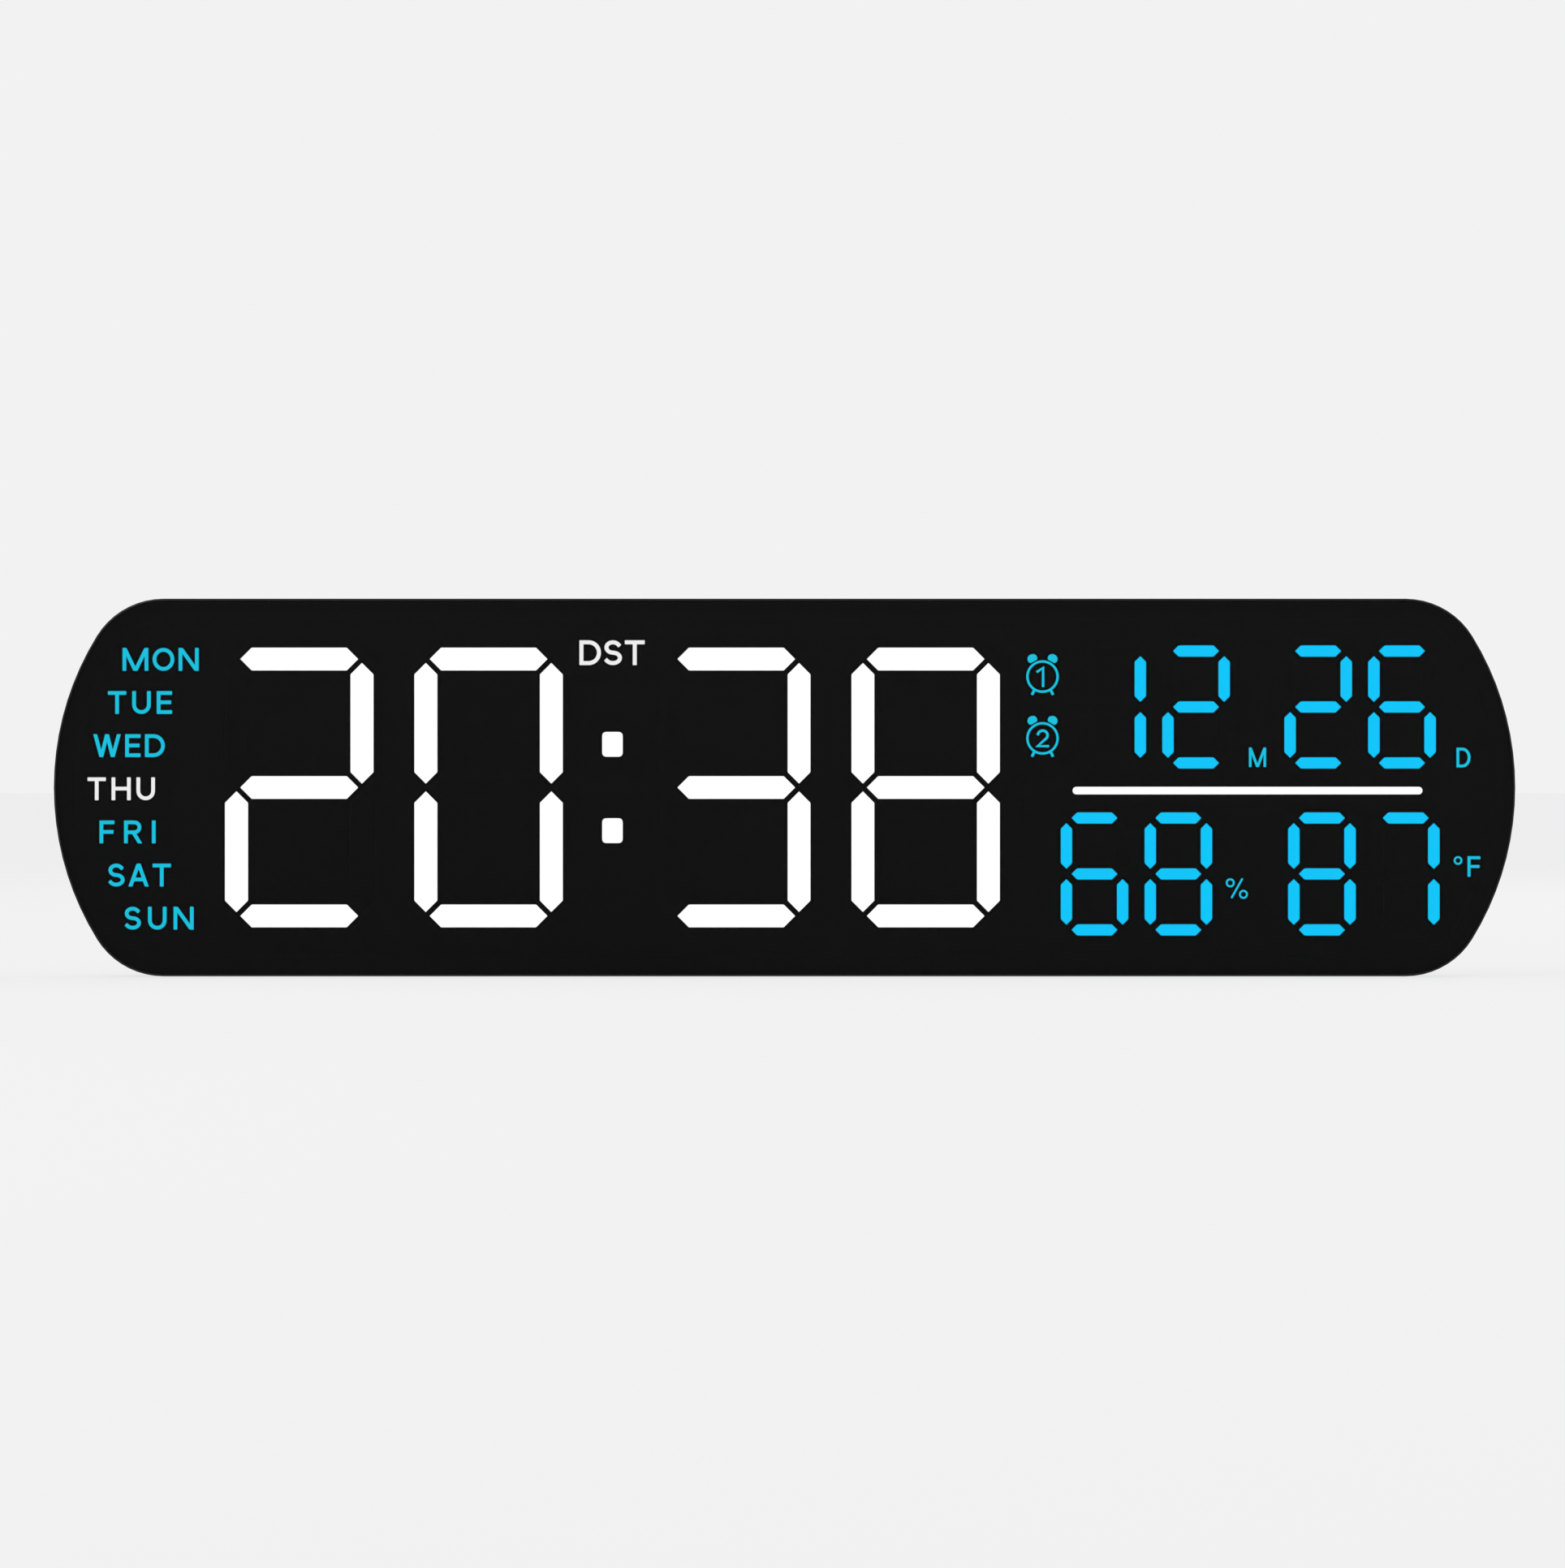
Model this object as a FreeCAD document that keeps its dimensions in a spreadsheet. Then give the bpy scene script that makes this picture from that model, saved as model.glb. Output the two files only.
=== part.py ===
import FreeCAD, Part
import math
import os
import re
import Sketcher
from FreeCAD import Placement, Rotation, Vector

# A flat desk and wall clock that shows the time, weekday, date, humidity and temperature in lit
# segments behind one smoked front panel.  X runs along the clock, to the right as its face is
# read.  The face looks towards -Y, the back towards +Y, and Z is up from the edge it stands on.
# Every layer is modelled about the clock's mid-height, and its body is raised by half the height.

SIZES = {
    # outline of the face: straight long edges, rounded corners and bowed ends
    "length": 330.0,
    "height": 85.3,
    "depth": 27.0,
    "end_radius": 65.2,
    "corner_radius": 17.7,
    # housing
    "wall": 2.0,
    "edge_round": 5.0,
    "frame_depth": 9.6,
    "ledge_width": 3.6,
    "ledge_thickness": 1.3,
    "lip_height": 1.2,
    "lip_gap": 0.1,
    "side_gap": 0.3,
    # front panel, its tape ring and the printed film behind it
    "lens_thickness": 2.0,
    "lens_round": 0.4,
    "tape_thickness": 0.4,
    "tape_inset": 0.6,
    "tape_width": 2.8,
    "film_thickness": 0.2,
    "film_gap": 0.3,
    # light box and boards
    "light_box_depth": 6.8,
    "seat_depth": 1.0,
    "bar_gap": 0.1,
    "board_thickness": 1.6,
    "board_inset": 3.0,
    # large digits: hours and minutes
    "big_width": 33.5,
    "big_height": 63.2,
    "big_stroke": 5.13,
    "big_joint": 0.9,
    "big_ledge": 0.35,
    "big_taper": 6.0,
    "big_pitch": 42.8,
    "colon_x": -38.9,
    "colon_half_gap": 28.0,
    "colon_dot_width": 4.6,
    "colon_dot_height": 5.6,
    "colon_dot_round": 0.9,
    "colon_dot_z": 9.76,
    # small digits: month and day above the bar, humidity and temperature below it
    "small_width": 15.2,
    "small_height": 27.8,
    "small_stroke": 2.5,
    "small_joint": 1.2,
    "small_ledge": 0.25,
    "small_taper": 2.0,
    "small_pitch": 18.95,
    "upper_row": 18.2,
    "lower_row": -19.55,
    "month_x": 83.55,
    "day_x": 130.1,
    "humidity_x": 79.55,
    "temperature_x": 130.95,
    "divider_x": 104.65,
    "divider_z": -0.7,
    "divider_length": 79.0,
    "divider_stroke": 1.7,
    # printed signs: one light window behind each word
    "word_width": 18.4,
    "word_height": 7.2,
    "weekday_pitch": 9.75,
    "weekday_x": -149.4,
    "word_round": 1.0,
    "word_ledge": 0.5,
    "dst_z": 30.4,
    "icon_x": 58.2,
    "icon_z": 25.5,
    "icon_pitch": 13.95,
    "icon_width": 9.0,
    "icon_height": 10.8,
    "unit_width": 5.6,
    "unit_height": 6.0,
    # light-emitting chips
    "big_chip_length": 2.8,
    "big_chip_width": 1.6,
    "small_chip_length": 1.6,
    "small_chip_width": 0.8,
    "chip_thickness": 0.8,
    "chip_step": 8.0,
    # case screws and their bosses
    "screw_inset": 4.6,
    "outer_screw_x": 132.0,
    "inner_screw_x": 45.0,
    "boss_radius": 3.0,
    "case_screw_radius": 1.1,
    "case_head_radius": 2.0,
    "case_head_thickness": 1.6,
    "case_seat": 3.0,
    "screw_length": 9.0,
    "thread_gap": 0.05,
    "pilot_spare": 0.5,
    "screw_clearance": 0.3,
    # board screws
    "board_screw_radius": 0.85,
    "board_head_radius": 1.9,
    "board_head_thickness": 1.2,
    "board_screw_length": 5.6,
    "upper_screw_z": 23.4,
    "lower_screw_z": -30.6,
    "right_screw_x": 107.0,
    # clamp posts of the rear cover
    "post_radius": 2.5,
    "post_x": 88.0,
    "post_z": 30.5,
    "rib_thickness": 1.2,
    "rib_height": 3.0,
    # keyholes for wall screws
    "keyhole_x": 75.0,
    "keyhole_z": 11.0,
    "keyhole_radius": 5.0,
    "keyhole_slot_radius": 2.5,
    "keyhole_rise": 8.0,
    # keys on the back
    "key_z": 31.4,
    "key_pitch": 12.6,
    "key_length": 9.0,
    "key_width": 5.0,
    "key_gap": 0.25,
    "key_recess": 1.2,
    "key_sunk": 0.3,
    "key_tray_wall": 1.6,
    "key_tray_length": 66.0,
    "key_tray_width": 9.6,
    "key_flange": 1.2,
    "key_flange_thickness": 1.0,
    "key_flange_gap": 0.3,
    "key_bevel": 0.5,
    "key_post_radius": 1.6,
    "key_travel": 0.5,
    "switch_width": 6.0,
    "switch_thickness": 3.5,
    "stem_radius": 1.7,
    "stem_height": 3.5,
    "stem_gap": 0.1,
    # fold-out feet
    "foot_x": 110.0,
    "foot_width": 25.4,
    "foot_length": 45.0,
    "foot_thickness": 3.0,
    "foot_gap": 0.3,
    "foot_pin_radius": 1.0,
    "pin_gap": 0.05,
    "foot_pad_thickness": 0.6,
    "foot_pad_width": 18.0,
    "foot_pad_length": 12.0,
    "foot_pad_inset": 3.5,
    "pocket_wall": 1.6,
    "scoop_radius": 8.0,
    # cable recess and power inlet
    "cable_width": 24.0,
    "cable_depth": 10.5,
    "cable_top": 30.0,
    "plug_width": 13.0,
    "plug_thickness": 7.0,
    "inlet_width": 8.94,
    "inlet_thickness": 3.26,
    "inlet_length": 7.35,
    "inlet_wall": 0.3,
    "inlet_set_back": 0.3,
    "tongue_width": 6.7,
    "tongue_thickness": 0.7,
    "tongue_length": 5.6,
    # power board, standing off the main board
    "power_board_y": 5.05,
    "power_board_width": 70.0,
    "power_board_height": 31.5,
    "power_board_x": 19.0,
    "standoff_radius": 2.5,
    "standoff_inset": 4.0,
    "header_width": 12.7,
    "header_thickness": 2.54,
    "header_x": 12.0,
    # coin cell, its holder and its quarter-turn cap
    "cell_x": 34.0,
    "cell_z": 4.6,
    "cell_radius": 10.0,
    "cell_thickness": 3.2,
    "cell_gap": 0.2,
    "holder_wall": 1.8,
    "holder_floor": 0.5,
    "holder_depth": 2.3,
    "contact_thickness": 0.3,
    "contact_width": 5.6,
    "cap_radius": 13.5,
    "cap_thickness": 1.5,
    "cap_gap": 0.3,
    "cap_bevel": 0.4,
    "cap_skirt_radius": 10.9,
    "cap_skirt_wall": 0.6,
    "cap_skirt_depth": 2.8,
    "cap_lug_reach": 1.5,
    "cap_lug_thickness": 1.0,
    "cap_lug_angle": 20.0,
    "cap_notch_slack": 6.0,
    "cap_turn": 45.0,
    "cap_lip": 1.5,
    "cap_collar_wall": 3.5,
    "coin_slot_length": 14.0,
    "coin_slot_width": 2.0,
    "coin_slot_depth": 0.9,
    # vents and sound holes
    "vent_x": 62.0,
    "vent_z": -20.0,
    "vent_length": 14.0,
    "vent_width": 2.0,
    "vent_pitch": 4.0,
    "sound_x": -45.0,
    "sound_z": -12.6,
    "sound_hole_radius": 0.9,
    "sound_ring": 3.6,
    # larger components on the main board
    "buzzer_radius": 6.0,
    "buzzer_height": 8.5,
    "buzzer_port_radius": 1.0,
    "controller_width": 10.0,
    "controller_thickness": 1.5,
    "controller_x": -85.0,
    "driver_length": 15.4,
    "driver_width": 7.5,
    "driver_thickness": 2.3,
    "crystal_radius": 1.0,
    "crystal_length": 6.0,
    "capacitor_radius": 3.15,
    "capacitor_height": 7.7,
    "capacitor_x": 70.0,
    "capacitor_z": -12.0,
    "sensor_width": 5.0,
    "sensor_thickness": 1.5,
}

# How far each weekday's window stands right of the middle one, by rows from the middle.
WEEKDAY_SHIFTS = {0: 0.0, 1: 1.8, 2: 4.35, 3: 9.05}

doc = FreeCAD.newDocument("DayClock")
sheet = doc.addObject("Spreadsheet::Sheet", "Sizes")
for row, (alias, size) in enumerate(SIZES.items(), start=1):
    sheet.set(f"A{row}", alias)
    sheet.set(f"B{row}", str(size))
    sheet.setAlias(f"B{row}", alias)
doc.recompute()


def formula(text):
    """The same sum as FreeCAD reads it, with the sheet's name before each size."""
    def with_sheet(word):
        return f"Sizes.{word[0]}" if word[0] in SIZES else word[0]
    return re.sub(r"[a-z_]\w*", with_sheet, str(text))


def value(text):
    """What a sum of sizes comes to, in millimetres or degrees."""
    return float(sheet.evalExpression(formula(text)))


def bind(target, prop, text):
    target.setExpression(prop, formula(text))


# Planes of the layers, from the face to the back.
LENS_FRONT = "(0 - depth / 2)"
LENS_BACK = f"({LENS_FRONT} + lens_thickness)"
FRAME_FRONT = f"({LENS_BACK} + tape_thickness)"
FILM_FRONT = f"({FRAME_FRONT} - film_thickness)"
LEDGE_BACK = f"({FRAME_FRONT} + ledge_thickness)"
SEAT_BACK = f"({FRAME_FRONT} + seat_depth)"
BOX_BACK = f"({FRAME_FRONT} + light_box_depth)"
BOARD_BACK = f"({BOX_BACK} + board_thickness)"
SPLIT = f"({FRAME_FRONT} + frame_depth)"
BACK = "(depth / 2)"
BACK_INSIDE = "(depth / 2 - wall)"
POWER_BACK = "(power_board_y + board_thickness)"
SCREW_SEAT = f"({SPLIT} + case_seat)"
HALF_HEIGHT = "(height / 2)"

parts = []


def kept(node):
    """Marks an object as a sub-part, which is written under its label."""
    node.Label = node.Name
    parts.append(node)
    return node


def new_body(name, x="0", y="0", z="height / 2"):
    body = doc.addObject("PartDesign::Body", name)
    for axis, text in (("x", x), ("y", y), ("z", z)):
        bind(body, f"Placement.Base.{axis}", text)
    return body


def origin_feature(body, role):
    return next(item for item in body.Origin.OriginFeatures if item.Role == role)


# ---------------------------------------------------------------- sketches

def new_sketch(body, name, depth_at, x="0", z="0", turn=0.0, plane="XZ_Plane"):
    """A sketch across the body.  On the XZ plane, depth_at is its Y, and x and z move its middle."""
    sketch = body.newObject("Sketcher::SketchObject", f"{name}_sketch")
    sketch.AttachmentSupport = [(origin_feature(body, plane), "")]
    sketch.MapMode = "FlatFace"
    sketch.AttachmentOffset = Placement(Vector(0, 0, 0), Rotation(Vector(0, 0, 1), turn))
    bind(sketch, "AttachmentOffset.Base.x", x)
    bind(sketch, "AttachmentOffset.Base.y", z)
    sign = "0 - " if plane == "XZ_Plane" else ""
    bind(sketch, "AttachmentOffset.Base.z", f"{sign}({depth_at})")
    return sketch


def constrain(sketch, text, *constraint):
    """Adds a dimension whose size follows the sheet."""
    number = sketch.addConstraint(Sketcher.Constraint(*constraint, value(text)))
    sketch.setExpression(f"Constraints[{number}]", formula(text))


def tangent_loop(sketch, first, count):
    for step in range(count):
        following = first + (step + 1) % count
        sketch.addConstraint(Sketcher.Constraint("Tangent", first + step, 2, following, 1))


def arc(sketch, centre, radius, start, end):
    circle = Part.Circle(Vector(*centre, 0), Vector(0, 0, 1), radius)
    sketch.addGeometry(Part.ArcOfCircle(circle, math.radians(start), math.radians(end)), False)


def line(sketch, start, end):
    sketch.addGeometry(Part.LineSegment(Vector(*start, 0), Vector(*end, 0)), False)


def draw_circle(sketch, radius, x="0", z="0"):
    number = len(sketch.Geometry)
    sketch.addGeometry(Part.Circle(Vector(value(x), value(z), 0), Vector(0, 0, 1), value(radius)), False)
    constrain(sketch, x, "DistanceX", -1, 1, number, 3)
    constrain(sketch, z, "DistanceY", -1, 1, number, 3)
    constrain(sketch, radius, "Radius", number)


def draw_rounded(sketch, width, height, radius):
    """A rectangle with rounded corners about the sketch's origin, drawn clockwise."""
    first = len(sketch.Geometry)
    half_w = value(f"({width}) / 2")
    half_h = value(f"({height}) / 2")
    r = value(radius)
    flat_w = half_w - r
    flat_h = half_h - r
    corners = ((flat_w, flat_h, 0), (flat_w, -flat_h, 270), (-flat_w, -flat_h, 180), (-flat_w, flat_h, 90))
    starts = ((-flat_w, half_h), (half_w, flat_h), (flat_w, -half_h), (-half_w, -flat_h))
    ends = ((flat_w, half_h), (half_w, -flat_h), (-flat_w, -half_h), (-half_w, flat_h))
    for start, end, (x, z, angle) in zip(starts, ends, corners):
        line(sketch, start, end)
        arc(sketch, (x, z), r, angle, angle + 90)
    for step in range(4):
        side = first + 2 * step
        corner = side + 1
        following = first + (2 * step + 2) % 8
        sketch.addConstraint(Sketcher.Constraint("Tangent", side, 2, corner, 2))
        sketch.addConstraint(Sketcher.Constraint("Tangent", corner, 1, following, 1))
        sketch.addConstraint(Sketcher.Constraint("Vertical" if step % 2 else "Horizontal", side))
        if step:
            sketch.addConstraint(Sketcher.Constraint("Equal", first + 1, corner))
    constrain(sketch, radius, "Radius", first + 1)
    constrain(sketch, f"({height}) / 2", "DistanceY", -1, 1, first, 1)
    constrain(sketch, f"({width}) / 2", "DistanceX", -1, 1, first + 2, 1)
    constrain(sketch, f"({height}) / 2", "DistanceY", first + 4, 1, -1, 1)
    constrain(sketch, f"({width}) / 2", "DistanceX", first + 6, 1, -1, 1)


def draw_rectangle(sketch, width, height):
    first = len(sketch.Geometry)
    half_w = value(f"({width}) / 2")
    half_h = value(f"({height}) / 2")
    corners = [(-half_w, -half_h), (half_w, -half_h), (half_w, half_h), (-half_w, half_h)]
    for step in range(4):
        line(sketch, corners[step], corners[(step + 1) % 4])
    for step in range(4):
        following = first + (step + 1) % 4
        sketch.addConstraint(Sketcher.Constraint("Coincident", first + step, 2, following, 1))
        sketch.addConstraint(Sketcher.Constraint("Vertical" if step % 2 else "Horizontal", first + step))
    sketch.addConstraint(Sketcher.Constraint("Symmetric", first, 1, first + 1, 2, -1, 1))
    constrain(sketch, width, "DistanceX", first, 1, first, 2)
    constrain(sketch, height, "DistanceY", first + 1, 1, first + 1, 2)


def draw_stadium(sketch, length, width):
    """A slot with round ends along the sketch's first axis, length from tip to tip."""
    first = len(sketch.Geometry)
    r = value(f"({width}) / 2")
    reach = value(f"({length}) / 2") - r
    line(sketch, (-reach, -r), (reach, -r))
    arc(sketch, (reach, 0), r, -90, 90)
    line(sketch, (reach, r), (-reach, r))
    arc(sketch, (-reach, 0), r, 90, 270)
    tangent_loop(sketch, first, 4)
    sketch.addConstraint(Sketcher.Constraint("Horizontal", first))
    sketch.addConstraint(Sketcher.Constraint("Horizontal", first + 2))
    sketch.addConstraint(Sketcher.Constraint("PointOnObject", first + 1, 3, -1))
    constrain(sketch, f"({width}) / 2", "Radius", first + 1)
    constrain(sketch, f"(({length}) - ({width})) / 2", "DistanceX", -1, 1, first + 1, 3)
    constrain(sketch, f"(({length}) - ({width})) / 2", "DistanceX", first + 3, 3, -1, 1)


def draw_outline(sketch, inset):
    """The clock's outline, or a smaller one parallel to it: two straight edges, four corner arcs
    and two bowed ends, each tangent to the next."""
    first = len(sketch.Geometry)
    half_h = value(f"height / 2 - ({inset})")
    end_r = value(f"end_radius - ({inset})")
    corner_r = value(f"corner_radius - ({inset})")
    end_x = value("length / 2 - end_radius")
    corner_z = half_h - corner_r
    corner_x = end_x + math.sqrt((end_r - corner_r) ** 2 - corner_z ** 2)
    join = math.degrees(math.atan2(corner_z, corner_x - end_x))
    line(sketch, (-corner_x, -half_h), (corner_x, -half_h))
    arc(sketch, (corner_x, -corner_z), corner_r, -90, -join)
    arc(sketch, (end_x, 0), end_r, -join, join)
    arc(sketch, (corner_x, corner_z), corner_r, join, 90)
    line(sketch, (corner_x, half_h), (-corner_x, half_h))
    arc(sketch, (-corner_x, corner_z), corner_r, 90, 180 - join)
    arc(sketch, (-end_x, 0), end_r, 180 - join, 180 + join)
    arc(sketch, (-corner_x, -corner_z), corner_r, 180 + join, 270)
    tangent_loop(sketch, first, 8)
    for edge in (first, first + 4):
        sketch.addConstraint(Sketcher.Constraint("Horizontal", edge))
    for corner in (first + 3, first + 5, first + 7):
        sketch.addConstraint(Sketcher.Constraint("Equal", first + 1, corner))
    sketch.addConstraint(Sketcher.Constraint("Equal", first + 2, first + 6))
    for end in (first + 2, first + 6):
        sketch.addConstraint(Sketcher.Constraint("PointOnObject", end, 3, -1))
    constrain(sketch, f"corner_radius - ({inset})", "Radius", first + 1)
    constrain(sketch, f"end_radius - ({inset})", "Radius", first + 2)
    constrain(sketch, "length / 2 - end_radius", "DistanceX", -1, 1, first + 2, 3)
    constrain(sketch, "length / 2 - end_radius", "DistanceX", first + 6, 3, -1, 1)
    constrain(sketch, f"height / 2 - ({inset})", "DistanceY", -1, 1, first + 4, 1)
    constrain(sketch, f"height / 2 - ({inset})", "DistanceY", first, 1, -1, 1)


def draw_bar(sketch, length, stroke):
    """A six-sided bar with 45-degree points, length from tip to tip."""
    first = len(sketch.Geometry)
    reach = value(f"({length}) / 2")
    half = value(f"({stroke}) / 2")
    tips = [(-reach, 0), (half - reach, half), (reach - half, half),
            (reach, 0), (reach - half, -half), (half - reach, -half)]
    for step in range(6):
        line(sketch, tips[step], tips[(step + 1) % 6])
    for step in range(6):
        following = first + (step + 1) % 6
        sketch.addConstraint(Sketcher.Constraint("Coincident", first + step, 2, following, 1))
    sketch.addConstraint(Sketcher.Constraint("Symmetric", first, 1, first + 3, 1, -1, 1))
    sketch.addConstraint(Sketcher.Constraint("Horizontal", first + 1))
    sketch.addConstraint(Sketcher.Constraint("PointOnObject", first, 1, -1))
    sketch.addConstraint(Sketcher.Constraint("Symmetric", first + 1, 1, first + 5, 1, -1))
    sketch.addConstraint(Sketcher.Constraint("Symmetric", first + 1, 1, first + 4, 1, -1, 1))
    constrain(sketch, length, "DistanceX", first, 1, first + 3, 1)
    constrain(sketch, f"({stroke}) / 2", "DistanceX", first, 1, first, 2)
    constrain(sketch, stroke, "DistanceY", first + 4, 1, first + 1, 2)


def draw_sector(sketch, inner, outer, angle):
    """A ring sector about the sketch's origin, its middle along the sketch's second axis."""
    radii = (value(inner), value(outer))
    half = value(angle) / 2
    ends = [math.radians(90 - half), math.radians(90 + half)]
    near, far = ([(r * math.cos(end), r * math.sin(end)) for end in ends] for r in radii)
    arc(sketch, (0, 0), radii[0], 90 - half, 90 + half)
    arc(sketch, (0, 0), radii[1], 90 - half, 90 + half)
    line(sketch, near[0], far[0])
    line(sketch, near[1], far[1])
    for curve, radius in ((0, inner), (1, outer)):
        sketch.addConstraint(Sketcher.Constraint("Coincident", curve, 3, -1, 1))
        constrain(sketch, radius, "Radius", curve)
    for side in (0, 1):
        sketch.addConstraint(Sketcher.Constraint("Coincident", 2 + side, 1, 0, 1 + side))
        sketch.addConstraint(Sketcher.Constraint("Coincident", 2 + side, 2, 1, 1 + side))
        sketch.addConstraint(Sketcher.Constraint("PointOnObject", -1, 1, 2 + side))
    sketch.addConstraint(Sketcher.Constraint("Symmetric", 1, 1, 1, 2, -2))
    constrain(sketch, f"2 * ({outer}) * sin(({angle}) / 2)", "DistanceX", 1, 2, 1, 1)


def draw_keyhole(sketch):
    """A round entry about the sketch's origin with a narrow neck that rises from it."""
    entry = value("keyhole_radius")
    neck = value("keyhole_slot_radius")
    rise = value("keyhole_rise")
    meet = math.sqrt(entry ** 2 - neck ** 2)
    angle = math.degrees(math.acos(neck / entry))
    arc(sketch, (0, 0), entry, 180 - angle, 360 + angle)
    line(sketch, (neck, meet), (neck, rise))
    arc(sketch, (0, rise), neck, 0, 180)
    line(sketch, (-neck, rise), (-neck, meet))
    sketch.addConstraint(Sketcher.Constraint("Coincident", 0, 3, -1, 1))
    sketch.addConstraint(Sketcher.Constraint("Coincident", 0, 2, 1, 1))
    sketch.addConstraint(Sketcher.Constraint("Tangent", 1, 2, 2, 1))
    sketch.addConstraint(Sketcher.Constraint("Tangent", 2, 2, 3, 1))
    sketch.addConstraint(Sketcher.Constraint("Coincident", 3, 2, 0, 1))
    sketch.addConstraint(Sketcher.Constraint("Vertical", 1))
    sketch.addConstraint(Sketcher.Constraint("Vertical", 3))
    sketch.addConstraint(Sketcher.Constraint("PointOnObject", 2, 3, -2))
    constrain(sketch, "keyhole_radius", "Radius", 0)
    constrain(sketch, "keyhole_slot_radius", "Radius", 2)
    constrain(sketch, "keyhole_rise", "DistanceY", -1, 1, 2, 3)


# ---------------------------------------------------------------- features

def on_face_plane(sketch):
    """True on the XZ plane, whose normal points to -Y; the other planes' normals point to + axes."""
    return sketch.AttachmentSupport[0][0].Role == "XZ_Plane"


def pad(body, name, sketch, length, taper=None):
    """Material from the sketch's plane towards the back, or towards +X or +Z on other planes."""
    feature = body.newObject("PartDesign::Pad", name)
    feature.Profile = sketch
    feature.Reversed = on_face_plane(sketch)
    bind(feature, "Length", length)
    if taper:
        bind(feature, "TaperAngle", f"0 - {taper}")
    body.Tip = feature
    doc.recompute()
    return feature


def pocket(body, name, sketch, length):
    """A cut from the sketch's plane towards the back, or towards +X or +Z on other planes."""
    before = body.Shape.Volume
    feature = body.newObject("PartDesign::Pocket", name)
    feature.Profile = sketch
    feature.Reversed = not on_face_plane(sketch)
    bind(feature, "Length", length)
    body.Tip = feature
    doc.recompute()
    if not body.Shape.Volume < before:
        raise RuntimeError(f"{name} cuts nothing")
    return feature


def mirrored_both(body, name, features):
    """The features again at the other end and at the other long edge: four of each."""
    transform = body.newObject("PartDesign::MultiTransform", name)
    across = body.newObject("PartDesign::Mirrored", f"{name}_across")
    across.MirrorPlane = (origin_feature(body, "YZ_Plane"), [""])
    upward = body.newObject("PartDesign::Mirrored", f"{name}_upward")
    upward.MirrorPlane = (origin_feature(body, "XY_Plane"), [""])
    transform.Originals = features
    transform.Transformations = [across, upward]
    body.Tip = transform
    doc.recompute()
    return transform


def mirrored(body, name, features):
    """The features again at the other end of the clock."""
    transform = body.newObject("PartDesign::Mirrored", name)
    transform.Originals = features
    transform.MirrorPlane = (origin_feature(body, "YZ_Plane"), [""])
    body.Tip = transform
    doc.recompute()
    return transform


def in_line(body, name, features, axis, length, count):
    """The features repeated along an axis, length from the first to the last."""
    pattern = body.newObject("PartDesign::LinearPattern", name)
    pattern.Originals = features
    pattern.Direction = (origin_feature(body, axis), [""])
    bind(pattern, "Length", length)
    pattern.Occurrences = count
    body.Tip = pattern
    doc.recompute()
    return pattern


def three_around(body, name, feature):
    """The feature three times, a third of a turn apart about its own sketch's origin."""
    pattern = body.newObject("PartDesign::PolarPattern", name)
    pattern.Originals = [feature]
    pattern.Axis = (feature.Profile[0], ["N_Axis"])
    pattern.Angle = 360
    pattern.Occurrences = 3
    body.Tip = pattern
    doc.recompute()
    return pattern


def edges_at(shape, y):
    """Names of the edges that lie wholly in the plane at this Y."""
    names = []
    for number, edge in enumerate(shape.Edges, start=1):
        box = edge.BoundBox
        if abs(box.YMin - y) < 1e-4 and abs(box.YMax - y) < 1e-4:
            names.append(f"Edge{number}")
    return names


def round_edges(body, name, base, names, radius):
    fillet = body.newObject("PartDesign::Fillet", name)
    fillet.Base = (base, names)
    bind(fillet, "Radius", radius)
    body.Tip = fillet
    doc.recompute()
    return fillet


def bevel_edges(body, name, base, names, size):
    bevel = body.newObject("PartDesign::Chamfer", name)
    bevel.Base = (base, names)
    bind(bevel, "Size", size)
    body.Tip = bevel
    doc.recompute()
    return bevel


def outline_pad(body, name, front, length, inset, hole=None):
    """A plate of the clock's outline, or a ring where a hole's inset is given."""
    sketch = new_sketch(body, name, front)
    draw_outline(sketch, inset)
    if hole:
        draw_outline(sketch, hole)
    return pad(body, name, sketch, length)


def round_pad(body, name, front, length, radius, x="0", z="0"):
    sketch = new_sketch(body, name, front, x, z)
    draw_circle(sketch, radius)
    return pad(body, name, sketch, length)


def round_pocket(body, name, front, length, radius, x="0", z="0"):
    sketch = new_sketch(body, name, front, x, z)
    draw_circle(sketch, radius)
    return pocket(body, name, sketch, length)


def block_pad(body, name, front, length, width, height, x="0", z="0"):
    sketch = new_sketch(body, name, front, x, z)
    draw_rectangle(sketch, width, height)
    return pad(body, name, sketch, length)


def block_pocket(body, name, front, length, width, height, x="0", z="0"):
    sketch = new_sketch(body, name, front, x, z)
    draw_rectangle(sketch, width, height)
    return pocket(body, name, sketch, length)


def box_part(name, width, thickness, height, x, y, z):
    """A plain block on the layer at y, its middle at x and at z above mid-height."""
    box = doc.addObject("Part::Box", name)
    bind(box, "Length", width)
    bind(box, "Width", thickness)
    bind(box, "Height", height)
    bind(box, "Placement.Base.x", f"({x}) - ({width}) / 2")
    bind(box, "Placement.Base.y", y)
    bind(box, "Placement.Base.z", f"height / 2 + ({z}) - ({height}) / 2")
    return box


def gathered(name, pieces):
    """Like pieces that share one sub-part."""
    group = doc.addObject("Part::Compound", name)
    group.Links = pieces
    return kept(group)


# ---------------------------------------------------------------- display

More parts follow.
